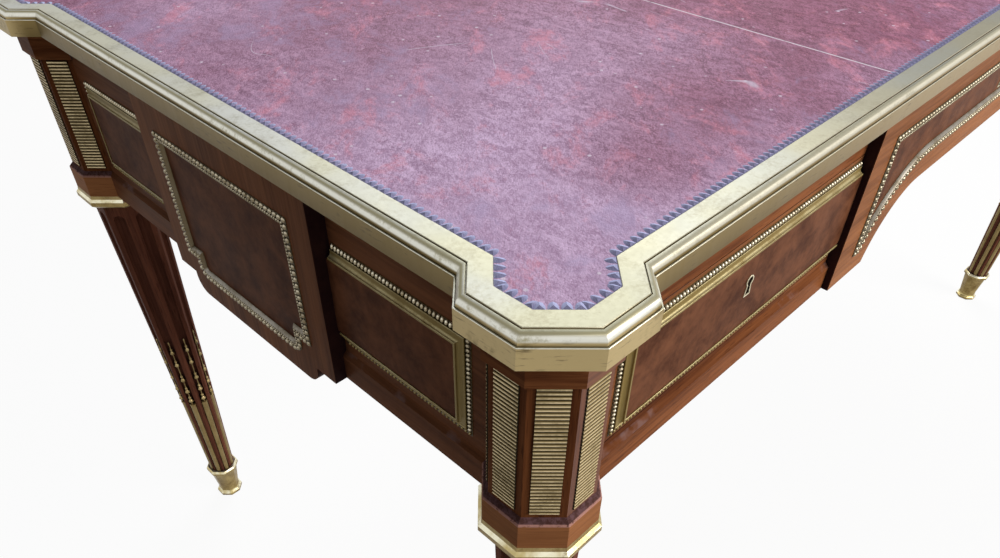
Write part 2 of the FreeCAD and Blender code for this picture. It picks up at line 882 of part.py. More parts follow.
def keyhole_plate(x, z, front_y):
    """A small brass keyhole plate with a round head and a flared tail."""
    back = front_y - plate_thickness
    head = Part.makeCylinder(plate_radius, plate_thickness, Vector(x, back, z), Vector(0, 1, 0))
    tail = [(x - plate_neck, z), (x - plate_flare, z - plate_tail)]
    tail += [(x + plate_flare, z - plate_tail), (x + plate_neck, z)]
    tail_face = polygon_face([Vector(u, back, w) for u, w in tail])
    plate = fused([head, tail_face.extrude(Vector(0, plate_thickness, 0))])
    return plate.cut(keyhole(x, z, back, plate_thickness))


def lock_case(x, back_y, keyhole_z):
    """A brass lock case on the back of a drawer front, with a slot for its bolt."""
    half = lock_width / 2
    head = drawer_head - drawer_gap / 2
    case = box(x - half, x + half, back_y, back_y + lock_thickness, head - lock_height, head)
    y = back_y + bolt_set
    wide = bolt_width / 2 + bolt_clearance
    deep = bolt_thickness / 2 + bolt_clearance
    slot = box(x - wide, x + wide, y - deep, y + deep, head - bolt_length - bolt_clearance, head)
    return case.cut(slot).cut(keyhole(x, keyhole_z, back_y, bolt_set - deep))


def lock_bolt(x, back_y):
    head = drawer_head - drawer_gap / 2
    y = back_y + bolt_set
    half = bolt_width / 2
    deep = bolt_thickness / 2
    return box(x - half, x + half, y - deep, y + deep, head - bolt_length, head)


def drawer_box(outer_left, outer_right, front_back_y, floor):
    """The two sides, the back and the bottom of a drawer between its outer faces."""
    bottom_low = floor + bottom_lift
    bottom_head = bottom_low + bottom_thickness
    inner_left = outer_left + lining
    inner_right = outer_right - lining
    bottom = box(inner_left - bottom_groove, inner_right + bottom_groove, front_back_y - bottom_groove,
                 drawer_back_y, bottom_low, bottom_head)
    sides = [box(outer_left, inner_left, front_back_y, drawer_back_y, floor, side_head).cut(bottom),
             box(inner_right, outer_right, front_back_y, drawer_back_y, floor, side_head).cut(bottom)]
    back_y = drawer_back_y - drawer_back_set
    back = box(inner_left, inner_right, back_y - lining, back_y, bottom_head, back_head)
    return sides, back, bottom


def side_drawer():
    """The left drawer's pieces by name."""
    outer_left = -front_outer_x + side_drawer_inset
    outer_right = -front_inner_x - side_drawer_inset
    sides, back, bottom = drawer_box(outer_left, outer_right, -side_front_back_y, drawer_floor)
    board = box(-front_outer_x, -front_inner_x, -ground_y, -side_front_back_y, drawer_floor, drawer_head)
    front = fused([board, side_raised_panel()])
    hole = keyhole(-side_lock_x, side_keyhole_z, -raised_front_y, raised_front_y - side_front_back_y)
    return {
        "front": front.cut(bottom).cut(hole),
        "sides": sides,
        "back": back,
        "bottom": bottom,
        "mounts": side_frame(),
        "escutcheon": keyhole_plate(-side_lock_x, side_keyhole_z, -raised_front_y),
        "lock": lock_case(-side_lock_x, -side_front_back_y, side_keyhole_z),
        "bolt": lock_bolt(-side_lock_x, -side_front_back_y),
    }


def centre_drawer():
    """The centre drawer's pieces by name, behind the arched front."""
    half = divider_inner_x - guide_gap
    sides, back, bottom = drawer_box(-half, half, -block_back_y, centre_drawer_floor)
    panel_y = -block_front_y + panel_recess
    hole = keyhole(0, centre_keyhole_z, panel_y, block_thickness - panel_recess)
    return {
        "front": block_front(block_back_y, block_head).cut(bottom).cut(hole),
        "sides": sides,
        "back": back,
        "bottom": bottom,
        "mounts": block_frame(),
        "escutcheon": keyhole_plate(0, centre_keyhole_z, panel_y),
        "lock": lock_case(0, -block_back_y, centre_keyhole_z),
        "bolt": lock_bolt(0, -block_back_y),
    }


# Every piece, by name

def all_pieces():
    pieces = {}
    panel = prism(plan_outline(panel_apothem), top_underside, panel_top)
    for hole in at_screws(screw(screw_clearance)):
        panel = panel.cut(hole)
    pieces["top_panel"] = panel
    pieces["leather_top"] = prism(plan_outline(leather_apothem), panel_top, panel_top + leather_thickness)
    pieces["top_edge"] = top_edge()
    pieces["top_screws"] = at_screws(screw(0))

    corners = ("front_left", "front_right", "back_left", "back_right")
    for corner, shape in zip(corners, four_corners(leg())):
        pieces["leg_" + corner] = shape
    for corner, shape in zip(corners, four_corners(sabot())):
        pieces["sabot_" + corner] = shape
    pieces["leg_collars"] = four_corners(collar())
    plates = [at_front_left(plate) for plate in around(reed_plate(), exposed_faces)]
    pieces["reeded_panels"] = [copy for plate in plates for copy in four_corners(plate)]
    rods = [at_front_left(rod) for rod in around(chandelle(), range(8))]
    pieces["chandelles"] = [copy for rod in rods for copy in four_corners(rod)]

    pieces["end_board_left"] = end_board()
    pieces["end_tablet_left"] = end_tablet()
    pieces["end_mounts_left"] = end_mounts()
    for name in ("end_board", "end_tablet"):
        pieces[name + "_right"] = mirror_x(pieces[name + "_left"])
    pieces["end_mounts_right"] = [mirror_x(mount) for mount in pieces["end_mounts_left"]]

    pieces["front_top_rail"] = front_top_rail()
    pieces["front_bottom_rail_left"] = bottom_rail()
    pieces["front_bottom_rail_right"] = mirror_x(bottom_rail())
    pieces["corner_stiles"] = four_corners(stile())

    pieces["back_top_rail"] = bored(mirror_y(plain_top_rail()))
    pieces["back_bottom_rails"] = [mirror_y(bottom_rail()), mirror_x(mirror_y(bottom_rail()))]
    false_board = box(-stile_inner_x, -front_inner_x, ground_y, side_front_back_y, rail_head, top_rail_bottom)
    false_front = fused([false_board, mirror_y(side_raised_panel())])
    pieces["back_false_front_left"] = false_front
    pieces["back_false_front_right"] = mirror_x(false_front)
    pieces["back_centre_front"] = mirror_y(block_front(divider_end_y, top_underside))
    back_frame = mirror_y(side_frame())
    pieces["back_mounts"] = [back_frame, mirror_x(back_frame), mirror_y(block_frame())]

    pieces["divider_left"] = divider()
    pieces["divider_right"] = mirror_x(divider())
    pieces["drawer_runners"] = drawer_runners()
    pieces["drawer_kickers"] = drawer_kickers()

    for part, shape in side_drawer().items():
        pieces["drawer_left_" + part] = shape
        copies = shape if isinstance(shape, list) else [shape]
        pieces["drawer_right_" + part] = [mirror_x(copy) for copy in copies]
    for part, shape in centre_drawer().items():
        pieces["drawer_centre_" + part] = shape
    return pieces


def write(name, shape):
    solids = shape if isinstance(shape, list) else [shape]
    whole = solids[0] if len(solids) == 1 else Part.makeCompound(solids)
    whole.exportStep("parts/" + name + ".step")
    print(name, len(whole.Solids), whole.isValid(), round(whole.Volume / 1000, 1))


for piece_name, piece_shape in all_pieces().items():
    write(piece_name, piece_shape)
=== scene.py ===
# %% [markdown]
# # A bureau plat in mahogany, leather and gilt brass
# The solids of the desk come packed from CAD as a fixed frame. This lesson dresses them: it gives every
# solid a procedural finish, and it models the fine brass and leather work that the solids only hint at.
# Everything is in metres, in the frame of the solids: the front faces -Y, +Z is up and the origin lies on
# the floor.

# %% Load the solids
from math import asin, cos, pi, radians, sin, sqrt, tan

import bmesh
import bpy
from mathutils import Matrix, Vector


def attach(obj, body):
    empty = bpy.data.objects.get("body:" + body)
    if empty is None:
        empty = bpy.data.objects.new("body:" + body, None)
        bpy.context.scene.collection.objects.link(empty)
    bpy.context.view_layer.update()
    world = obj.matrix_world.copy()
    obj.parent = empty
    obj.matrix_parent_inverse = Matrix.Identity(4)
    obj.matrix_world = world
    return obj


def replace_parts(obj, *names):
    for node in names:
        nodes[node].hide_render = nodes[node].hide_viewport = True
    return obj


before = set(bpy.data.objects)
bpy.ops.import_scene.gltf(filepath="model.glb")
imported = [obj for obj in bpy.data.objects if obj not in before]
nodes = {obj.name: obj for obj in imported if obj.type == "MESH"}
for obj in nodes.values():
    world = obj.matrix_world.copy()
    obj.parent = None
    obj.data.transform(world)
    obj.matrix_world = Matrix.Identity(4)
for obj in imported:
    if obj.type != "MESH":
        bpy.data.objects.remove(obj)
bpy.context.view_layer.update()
mm = 0.001

# %% [markdown]
# ## Camera
# The picture looks down on the front left corner from close by, so lines run together quickly. A short lens
# does that. The optical axis is low in the picture, which the vertical shift says.

# %% Camera
picture_width = 1000
focal_pixels = 770.67
axis_right_of_left = 491.75
axis_below_top = 382.37
picture_height = 558
camera_place = (-0.98191, -0.55063, 1.01505)
camera_degrees = (46.5257, -0.2539, -45.0919)

camera_data = bpy.data.cameras.new("camera")
camera_data.sensor_width = 36
camera_data.lens = focal_pixels / picture_width * camera_data.sensor_width
camera_data.shift_x = (picture_width / 2 - axis_right_of_left) / picture_width
camera_data.shift_y = (axis_below_top - picture_height / 2) / picture_width
camera_data.clip_start = 0.02
camera = bpy.data.objects.new("camera", camera_data)
camera.location = camera_place
camera.rotation_euler = [radians(turn) for turn in camera_degrees]
bpy.context.scene.collection.objects.link(camera)
bpy.context.scene.camera = camera
bpy.context.scene.view_settings.view_transform = "Standard"
print("lens:", round(camera_data.lens, 2))

# %% [markdown]
# ## Shader maths
# A node tree is easier to read as arithmetic. `Wire` wraps one output socket: `wire * 2 + 1` adds two Math
# nodes, and its `node` method adds a node of any other kind. The helpers below name the few patterns that
# every finish uses.

# %% Wires
class Wire:
    """One output socket of a node tree; arithmetic on it adds Math nodes."""

    def __init__(self, tree, socket):
        self.tree = tree
        self.socket = socket

    def node(self, kind, settings, sockets, output=0):
        """Adds a node: its settings first, then the values or wires of its sockets."""
        made = self.tree.nodes.new(kind)
        for name, value in settings.items():
            setattr(made, name, value)
        for name, value in sockets.items():
            if isinstance(value, Wire):
                self.tree.links.new(value.socket, made.inputs[name])
            else:
                made.inputs[name].default_value = value
        return Wire(self.tree, made.outputs[output])

    def maths(self, operation, first, second=0.0):
        return self.node("ShaderNodeMath", {"operation": operation}, {0: first, 1: second})

    def __add__(self, other):
        return self.maths("ADD", self, other)

    def __radd__(self, other):
        return self.maths("ADD", other, self)

    def __sub__(self, other):
        return self.maths("SUBTRACT", self, other)

    def __rsub__(self, other):
        return self.maths("SUBTRACT", other, self)

    def __mul__(self, other):
        return self.maths("MULTIPLY", self, other)

    def __rmul__(self, other):
        return self.maths("MULTIPLY", other, self)

    def __abs__(self):
        return self.maths("ABSOLUTE", self)


print("wires: arithmetic adds Math nodes")

# %% Patterns
def rise(value, low, high):
    """0 below low, 1 above high, smooth between."""
    settings = {"interpolation_type": "SMOOTHSTEP"}
    return value.node("ShaderNodeMapRange", settings, {"Value": value, "From Min": low, "From Max": high})


def mixed(share, first, second):
    """A colour from first at share 0 to second at share 1."""
    settings = {"data_type": "RGBA"}
    return share.node("ShaderNodeMix", settings, {0: share, 6: first, 7: second}, output=2)


def stretched(place, factors, turn=0.0):
    """Coordinates turned about Z and then scaled along each axis, so that a pattern runs long one way."""
    if turn:
        place = place.node("ShaderNodeMapping", {}, {"Vector": place, "Rotation": (0, 0, turn)})
    return place.node("ShaderNodeMapping", {}, {"Vector": place, "Scale": factors})


def noise(place, scale, detail=2.0, roughness=0.5, distortion=0.0):
    sockets = {"Vector": place, "Scale": scale, "Detail": detail, "Roughness": roughness,
               "Distortion": distortion}
    return place.node("ShaderNodeTexNoise", {}, sockets)


def part_of(place, axis):
    """One of the three numbers of a vector."""
    return place.node("ShaderNodeSeparateXYZ", {}, {0: place}, output="XYZ".index(axis))


def facing(place, axis):
    """How far a surface looks along an axis, from -1 to 1."""
    return part_of(place.node("ShaderNodeTexCoord", {}, {}, output=1), axis)


def openness(place, distance):
    """From 0 deep in a hollow of about the given size to 1 in the open."""
    settings = {"samples": 8, "only_local": False}
    return place.node("ShaderNodeAmbientOcclusion", settings, {"Distance": distance}, output=1)


def bumped(height, strength, distance):
    return height.node("ShaderNodeBump", {}, {"Strength": strength, "Distance": distance, "Height": height})


def new_finish(name, **constants):
    """A material, its shader and its Object coordinates; constants go on the shader's own sockets."""
    material = bpy.data.materials.new(name)
    material.use_nodes = True
    tree = material.node_tree
    shader = tree.nodes["Principled BSDF"]
    for socket, value in constants.items():
        shader.inputs[socket.replace("_", " ")].default_value = value
    place = tree.nodes.new("ShaderNodeTexCoord")
    return material, shader, Wire(tree, place.outputs["Object"])


def connect(shader, **wires):
    for socket, wire in wires.items():
        wire.tree.links.new(wire.socket, shader.inputs[socket.replace("_", " ")])


def colour(red, green, blue):
    return (red, green, blue, 1.0)


print("patterns: ready for the finishes")

# %% [markdown]
# ## Floor, world and lamps
# A white studio: the floor and the world show white to the camera and in reflections, and light the desk
# softly otherwise. One large lamp lights the front, and one behind the desk lays a sheen on the leather and
# the brass.

# %% World
def seen_directly(tree):
    """1 for camera, glossy and transmission rays, which see the white background."""
    path = tree.nodes.new("ShaderNodeLightPath")
    names = ("Is Camera Ray", "Is Glossy Ray", "Is Transmission Ray")
    camera_ray, glossy_ray, clear_ray = [Wire(tree, path.outputs[name]) for name in names]
    return camera_ray.maths("MAXIMUM", camera_ray.maths("MAXIMUM", camera_ray, glossy_ray), clear_ray)


def white_world(fill):
    world = bpy.data.worlds.new("studio")
    world.use_nodes = True
    tree = world.node_tree
    seen = seen_directly(tree)
    strength = seen * (1 - fill) + fill
    background = tree.nodes["Background"]
    background.inputs["Color"].default_value = colour(1, 1, 1)
    tree.links.new(strength.socket, background.inputs["Strength"])
    bpy.context.scene.world = world


white_world(fill=0.16)
print("world: white where it is seen")

# %% Floor
def white_floor(size, bounce, shown_light):
    """A floor whose lit parts show as white and whose shadows stay soft."""
    bm = bmesh.new()
    bmesh.ops.create_grid(bm, x_segments=1, y_segments=1, size=size)
    mesh = bpy.data.meshes.new("floor")
    bm.to_mesh(mesh)
    bm.free()
    floor = bpy.data.objects.new("floor", mesh)
    bpy.context.scene.collection.objects.link(floor)
    material = bpy.data.materials.new("floor")
    material.use_nodes = True
    tree = material.node_tree
    tree.nodes.remove(tree.nodes["Principled BSDF"])
    seen = seen_directly(tree)
    grey = seen.node("ShaderNodeBsdfDiffuse", {}, {"Color": colour(bounce, bounce, bounce)})
    lit = seen.node("ShaderNodeBsdfDiffuse", {}, {"Color": colour(0.8, 0.8, 0.8)})
    glow = seen.node("ShaderNodeEmission", {}, {"Color": colour(1, 1, 1), "Strength": 1.0})
    shown = seen.node("ShaderNodeMixShader", {}, {0: shown_light, 1: lit, 2: glow})
    whole = seen.node("ShaderNodeMixShader", {}, {0: seen, 1: grey, 2: shown})
    tree.links.new(whole.socket, tree.nodes["Material Output"].inputs["Surface"])
    mesh.materials.append(material)


white_floor(size=20, bounce=0.5, shown_light=0.93)
print("floor: white, with soft shadows")

# %% Lamps
def soft_lamp(name, place, target, width, depth, power, tint):
    data = bpy.data.lights.new(name, "AREA")
    data.shape = "RECTANGLE"
    data.size = width
    data.size_y = depth
    data.energy = power
    data.color = tint
    lamp = bpy.data.objects.new(name, data)
    lamp.location = place
    lamp.rotation_euler = (Vector(target) - Vector(place)).to_track_quat("-Z", "Y").to_euler()
    bpy.context.scene.collection.objects.link(lamp)


soft_lamp("front_lamp", place=(0.9, -3.2, 2.3), target=(0, -0.3, 0.6), width=2.4, depth=1.6, power=125,
          tint=(1.0, 0.97, 0.93))
soft_lamp("back_lamp", place=(1.5, 1.4, 2.6), target=(-0.3, -0.1, 0.77), width=2.2, depth=1.6, power=75,
          tint=(0.95, 0.97, 1.0))
print("lamps: one in front and one behind")

# %% [markdown]
# ## Mahogany
# Straight-grained mahogany is reddish brown, with long streaks, short dark pores and a rubbed polish. The
# streaks are noise that is squeezed across the grain. Each board has its own grain direction, so the finish
# is a function. Faces that look up carry patches of a pale painted sheen, where the polish is also dulled,
# and hollows are painted dark as shade.

# %% Grain
along_x = (0.05, 1.0, 1.0)
along_y = (1.0, 0.05, 1.0)
along_z = (1.0, 1.0, 0.05)
level = (0.05, 0.05, 1.0)


def grain_tone(place, stretch):
    """From 0, dark, to 1, light: broad bands and fine streaks along the grain."""
    run = stretched(place, stretch)
    bands = noise(run, 38.0, detail=3.0, distortion=0.6)
    streaks = noise(run, 330.0, detail=3.0, roughness=0.6)
    return bands * 0.6 + streaks * 0.4


def pore_mask(place, stretch):
    run = stretched(place, stretch)
    return rise(noise(run, 900.0, detail=1.0), 0.62, 0.72)


def smears(place):
    """Where cloths have dulled the polish."""
    return noise(place, 22.0, detail=4.0, roughness=0.6)


print("grain: along the front, along the end, upright and level")

# %% Mahogany
shade_black = colour(0.008, 0.004, 0.004)
sheen_on_polish = colour(0.38, 0.28, 0.29)
warm_dark = colour(0.16, 0.056, 0.022)
warm_light = colour(0.46, 0.185, 0.070)
pore_brown = colour(0.03, 0.009, 0.005)


def wood_colour(tone, pores, place, dark, light, pore, warm=None, hollow=0.02, shade_begins=0.75, shade_black_at=0.2):
    """A wood's colour from its tone and its pores. warm is a share of a lighter, warmer cut. Hollows of about
    the given size are painted dark as shade, from one openness down to black at a lower one, and faces that
    look up get patches of a pale painted sheen."""
    base = mixed(rise(tone, 0.3, 0.7), dark, light)
    if warm:
        base = mixed(warm, base, mixed(rise(tone, 0.3, 0.7), warm_dark, warm_light))
    base = mixed(pores * 0.55, base, pore)
    # Painted sheen: faces that look up are paled in patches, a painted reflection on polish that is also dulled
    # there.
    sheen_patches = rise(facing(place, "Z"), 0.5, 0.8) * rise(smears(place), 0.53, 0.64)
    base = mixed(sheen_patches * 0.5, base, sheen_on_polish)
    # Painted shade: hollows go dark towards black.
    return mixed(rise(openness(place, hollow), shade_begins, shade_black_at) * 0.85, base, shade_black)


def polish(shader, place, base, tone, pores):
    """Connects a wood's colour, and gives it its uneven gloss and the relief of its grain."""
    gloss = smears(place) * 0.22 + tone * 0.1 + 0.2
    connect(shader, Base_Color=base, Roughness=gloss, Normal=bumped(tone - pores * 0.6, 0.12, 0.0006))


def mahogany(name, stretch, dark, light):
    material, shader, place = new_finish(name, Specular_IOR_Level=0.008)
    tone = grain_tone(place, stretch)
    pores = pore_mask(place, stretch)
    polish(shader, place, wood_colour(tone, pores, place, dark, light, pore_brown), tone, pores)
    return material


deep_brown = colour(0.085, 0.024, 0.009)
red_brown = colour(0.23, 0.080, 0.028)
front_dark = colour(0.105, 0.031, 0.012)
front_light = colour(0.30, 0.105, 0.037)
mahogany_x = mahogany("mahogany_along_front", along_x, front_dark, front_light)
mahogany_z = mahogany("mahogany_upright", along_z, deep_brown, red_brown)
print("finishes: mahogany along the front and upright")

# %% [markdown]
# The legs are one piece from floor to top. Their grain runs up them, but the cap and the base of each post
# are veneered with the grain level, so the finish changes its grain with the height. The base and the legs
# below it are painted lighter, as painted light thrown up from the floor. The bevel on the base is painted
# a dark, speckled violet, a painted reflection on its polish, and its lower arris carries a bright painted
# highlight that is partly wear. Above the base, the polish on the faces that look to the front and the back
# has a pale painted sheen.

# %% Leg mahogany
base_low, base_top, base_arris = 568 * mm, 597 * mm, 592.5 * mm
cap_low = 720 * mm


def leg_mahogany():
    material, shader, place = new_finish("mahogany_leg", Specular_IOR_Level=0.006)
    height = part_of(place, "Z")
    in_base = height.maths("GREATER_THAN", height, base_low) * height.maths("LESS_THAN", height, base_top)
    levelled = in_base + height.maths("GREATER_THAN", height, cap_low)
    # Painted light: below the base the legs are painted lighter, as light thrown up from the floor.
    lower = height.maths("LESS_THAN", height, base_low)
    dark = mixed(lower, deep_brown, colour(0.098, 0.034, 0.022))
    light = mixed(lower, red_brown, colour(0.235, 0.085, 0.050))
    upright_tone = grain_tone(place, along_z)
    level_tone = grain_tone(place, level)
    tone = upright_tone + (level_tone - upright_tone) * levelled
    upright_pores = pore_mask(place, along_z)
    pores = upright_pores + (pore_mask(place, level) - upright_pores) * levelled
    warm = in_base + levelled * 0.4
    base = wood_colour(tone, pores, place, dark, light, pore_brown, warm, hollow=0.012, shade_begins=0.9, shade_black_at=0.4)
    # Painted light: the base is painted lighter too.
    base = mixed(in_base * 0.35, base, colour(0.50, 0.21, 0.085))
    # Painted sheen: above the base, faces that look to the front and the back are paled.
    front_back_sheen = rise(height, base_top, base_top + mm) * rise(abs(facing(place, "Y")), 0.8, 0.95)
    base = mixed(front_back_sheen * 0.25, base, colour(0.36, 0.25, 0.23))
    # Painted reflection: the bevel that looks up is painted a dark, speckled violet.
    on_bevel = in_base * rise(facing(place, "Z"), 0.3, 0.6)
    speckled = noise(place, 260.0, detail=4.0, roughness=0.7)
    bevel_reflection = mixed(rise(speckled, 0.4, 0.62), colour(0.045, 0.024, 0.032), colour(0.130, 0.075, 0.095))
    base = mixed(on_bevel * 0.85, base, bevel_reflection)
    # Painted highlight, partly wear: a bright pink line along the lower arris of the bevel.
    rubbed_and_lit = rise(abs(height - base_arris), 1.3 * mm, 0.6 * mm) * rise(speckled, 0.3, 0.5)
    base = mixed(rubbed_and_lit * 0.8, base, colour(0.60, 0.31, 0.26))
    polish(shader, place, base, tone, pores)
    return material


mahogany_leg = leg_mahogany()
print("finish: leg mahogany")

# %% [markdown]
# ## Figured veneer
# The drawer fronts, the tablets and the arched block carry mottled veneer: soft clouds with a finer curl in
# them. Two noises of different size give both. The borders round the panels are straight-grained, and a
# sunk or raised panel is found by its depth. The flanks of the blocks are painted nearly black, as shade,
# and the normal finds them.

# %% Figured veneer
veneer_dark = colour(0.066, 0.022, 0.011)
veneer_light = colour(0.215, 0.085, 0.042)
flank_shade = colour(0.018, 0.009, 0.014)
flank_axis = {"Y": "X", "X": "Y"}
panel_blur = 0.2 * mm


def figured(name, depth_axis, panel_depth, sunk, border_stretch, border_warmth):
    """Mottled veneer on a panel sunk or raised past a depth along an axis, and straight grain round it."""
    material, shader, place = new_finish(name, Specular_IOR_Level=0.008)
    clouds = noise(place, 38.0, detail=5.0, roughness=0.6, distortion=0.3)
    curl = noise(place, 190.0, detail=4.0, roughness=0.6, distortion=0.2)
    figure = clouds * 0.62 + curl * 0.20 + 0.09
    depth = abs(part_of(place, depth_axis))
    step = panel_blur if sunk else -panel_blur
    border_share = rise(depth, panel_depth - step, panel_depth + step)
    border = grain_tone(place, border_stretch) * 0.75 + 0.125
    tone = figure + (border - figure) * border_share
    pores = pore_mask(place, along_z) * 0.2
    warm = border_share * border_warmth
    base = wood_colour(tone, pores, place, veneer_dark, veneer_light, pore_brown, warm)
    # Painted shade: the flanks of a block go nearly black.
    shaded_flank = rise(abs(facing(place, flank_axis[depth_axis])), 0.7, 0.9)
    base = mixed(shaded_flank * 0.8, base, flank_shade)
    polish(shader, place, base, tone, pores)
    return material


drawer_veneer = figured("veneer_drawer", depth_axis="Y", panel_depth=349 * mm, sunk=False,
                        border_stretch=along_x, border_warmth=0.55)
end_veneer = figured("veneer_end", depth_axis="X", panel_depth=729.6 * mm, sunk=False,
                     border_stretch=along_y, border_warmth=0.2)
block_veneer = figured("veneer_block", depth_axis="Y", panel_depth=356 * mm, sunk=True,
                       border_stretch=along_x, border_warmth=0.8)
tablet_veneer = figured("veneer_tablet", depth_axis="X", panel_depth=739.7 * mm, sunk=True,
                        border_stretch=along_z, border_warmth=0.4)
print("finishes: figured veneer four ways")

# %% [markdown]
# ## Oak and steel
# The drawer linings, the runners and the panel under the leather are plain oak, and the screws and lock
# bolts steel.

# %% Oak and steel
def oak_finish():
    material, shader, place = new_finish("oak", Specular_IOR_Level=0.25)
    tone = grain_tone(place, along_y)
    pores = pore_mask(place, along_y)
    dark, light, pore = colour(0.23, 0.14, 0.07), colour(0.42, 0.29, 0.16), colour(0.12, 0.07, 0.035)
    base = wood_colour(tone, pores, place, dark, light, pore)
    polish(shader, place, base, tone, pores)
    return material


def steel_finish():
    material, shader, place = new_finish("steel", Metallic=1.0)
    drawn = noise(stretched(place, along_z), 700.0, detail=2.0)
    dull = noise(place, 60.0, detail=3.0)
    connect(shader, Base_Color=mixed(dull, colour(0.30, 0.29, 0.28), colour(0.52, 0.51, 0.49)),
            Roughness=drawn * 0.2 + dull * 0.2 + 0.2, Normal=bumped(drawn, 0.08, 0.0002))
    return material


oak = oak_finish()
steel = steel_finish()
print("finishes: oak and steel")

# %% [markdown]
# ## Gilt brass
# The mounts are old gilt brass: olive on the upright faces and pale where hands and cloths rub them, and
# faces that look up are painted paler still, as painted light. The hollows are painted nearly black, as
# painted shade with some grime: the shader's own ambient occlusion finds them, and the normal tells level
# faces from upright ones. Beads are paler than the bars, a painted highlight as well as rubbing, the top
# rows most, and their beds are painted dark, as shade with grime. Between the reeds of the posts and on
# their cut ends lies painted shade with grime, and their crests carry a painted highlight as well as
# rubbing; the height and the normal find these.

# %% Reeds
leg_x, leg_y, leg_sides = 710.0, 331.0, 8
post_x, post_y, post_reach = leg_x * mm, leg_y * mm, 38.5 * mm
reed_low = 600.5 * mm
reed_spacing = 117 * mm / 35


def reed_crests(place):
    """From 0 between two reeds of a post to 1 on a crest."""
    turns = part_of(place, "Z") * (1 / reed_spacing) - reed_low / reed_spacing
    return 1 - abs(turns.maths("FRACT", turns) - 0.5) * 2


def reed_ends(place):
    """1 on the cut ends of the reeds, which look along a face of the post and not away from its axis."""
    away, looks = [], []
    for axis, leg_place in (("X", post_x), ("Y", post_y)):
        across = part_of(place, axis)
        away.append(abs(across) - leg_place)
        looks.append(facing(place, axis) * across.maths("SIGN", across))
    turned = abs(looks[0] * away[1] - looks[1] * away[0])
    return rise(turned, post_reach * 0.5, post_reach * 0.8)


print("reeds: one every", round(reed_spacing / mm, 2), "mm")

# %% Gilt brass
# Painted shade with grime: the dark colours of hollows and of the gaps between reeds.
grime_and_shade = colour(0.022, 0.016, 0.009)
reed_grime_and_shade = colour(0.050, 0.037, 0.020)


def brass_marks(place, blotch_scale=45.0):
    """Broad blotches and fine specks of wear."""
    blotches = noise(place, blotch_scale, detail=5.0, roughness=0.65)
    return blotches, noise(place, 420.0, detail=3.0, roughness=0.7)


def scuff_marks(place):
    """Short upright scuffs."""
    return noise(stretched(place, (1.0, 1.0, 0.2)), 260.0, detail=4.0, roughness=0.7)


def gilt(name, rubbed_and_lit, dull, hollow_size, rub_level, smoothest, metal, reeded=False):
    """Old gilt brass. rub_level is how pale upright faces are, from 0 to 1, except on reeds, smoothest the
    least roughness, and metal how far dull faces still shine as metal. Faces that look up are painted paler,
    as painted light, and hollows darker, as painted shade with grime."""
    material, shader, place = new_finish(name, Specular_IOR_Level=0.08)
    blotches, specks = brass_marks(place)
    open_air = openness(place, hollow_size)
    # On reeds: painted shade with grime between them and on their ends, and a painted highlight with rubbing on
    # their crests.
    if reeded:
        crest, ends = reed_crests(place), reed_ends(place)
        shade_and_grime, grime = ends.maths("MAXIMUM", rise(crest, 0.45, 0.15), ends), reed_grime_and_shade
        wear = rise(crest, 0.45, 0.85)
    else:
        # Elsewhere: painted shade with grime in hollows, and painted light with rubbing on faces that look up.
        shade_and_grime, grime = rise(open_air, 0.65, 0.25), grime_and_shade
        wear = rise(facing(place, "Z"), 0.12, 0.68) * (1 - rub_level) + rub_level
    # The pale share is painted light and rubbing, and less in hollows, as painted shade.
    pale = wear * rise(blotches * 0.7 + specks * 0.3, 0.25, 0.6) * rise(open_air, 0.45, 0.85)
    base = mixed(shade_and_grime, mixed(pale, colour(*dull), colour(*rubbed_and_lit)), grime)
    scuffs = scuff_marks(place)
    rough = blotches * 0.16 + scuffs * 0.16 + shade_and_grime * 0.3 + smoothest
    connect(shader, Base_Color=base, Metallic=pale * 0.3 + metal, Roughness=rough,
            Normal=bumped(scuffs + specks, 0.05, 0.0003))
    return material


frame_gilt = gilt("gilt_frames", rubbed_and_lit=(0.44, 0.375, 0.20), dull=(0.255, 0.175, 0.050),
                  hollow_size=3 * mm, rub_level=0.12, smoothest=0.24, metal=0.12)
# Painted reflection: the pale silver shows on the slopes that look up.
plate_gilt = gilt("gilt_plates", rubbed_and_lit=(0.34, 0.315, 0.27), dull=(0.15, 0.106, 0.045),
                  hollow_size=3 * mm, rub_level=0.2, smoothest=0.26, metal=0.35)
# Painted shade with grime: the dark finish of the beds under the beads.
bed_shade_gilt = gilt("gilt_beds", rubbed_and_lit=(0.13, 0.105, 0.065), dull=(0.060, 0.044, 0.022),
                hollow_size=3 * mm, rub_level=0.2, smoothest=0.3, metal=0.3)
# Painted highlight: the brightest beads, for the top rows of the side frames.
lit_bead_gilt = gilt("gilt_beads", rubbed_and_lit=(0.88, 0.83, 0.66), dull=(0.25, 0.180, 0.080),
                 hollow_size=2 * mm, rub_level=0.3, smoothest=0.18, metal=0.5)
# A dimmer bead finish: painted shade on the upright rows of the side frames; it also dresses the beads round
# the sunk panels.
grey_gilt = gilt("gilt_grey_beads", rubbed_and_lit=(0.58, 0.52, 0.39), dull=(0.19, 0.145, 0.075),
                 hollow_size=2 * mm, rub_level=0.18, smoothest=0.2, metal=0.5)
reed_gilt = gilt("gilt_reeds", rubbed_and_lit=(0.84, 0.68, 0.40), dull=(0.25, 0.178, 0.072),
                 hollow_size=2 * mm, rub_level=0.3, smoothest=0.3, metal=0.1, reeded=True)
lock_gilt = gilt("gilt_keyholes", rubbed_and_lit=(0.90, 0.84, 0.64), dull=(0.52, 0.44, 0.270),
                 hollow_size=2 * mm, rub_level=0.7, smoothest=0.2, metal=0.3)
rod_gilt = gilt("gilt_rods", rubbed_and_lit=(0.60, 0.47, 0.23), dull=(0.18, 0.118, 0.036),
                hollow_size=4 * mm, rub_level=0.3, smoothest=0.2, metal=0.4)
print("finishes: gilt brass eight ways")

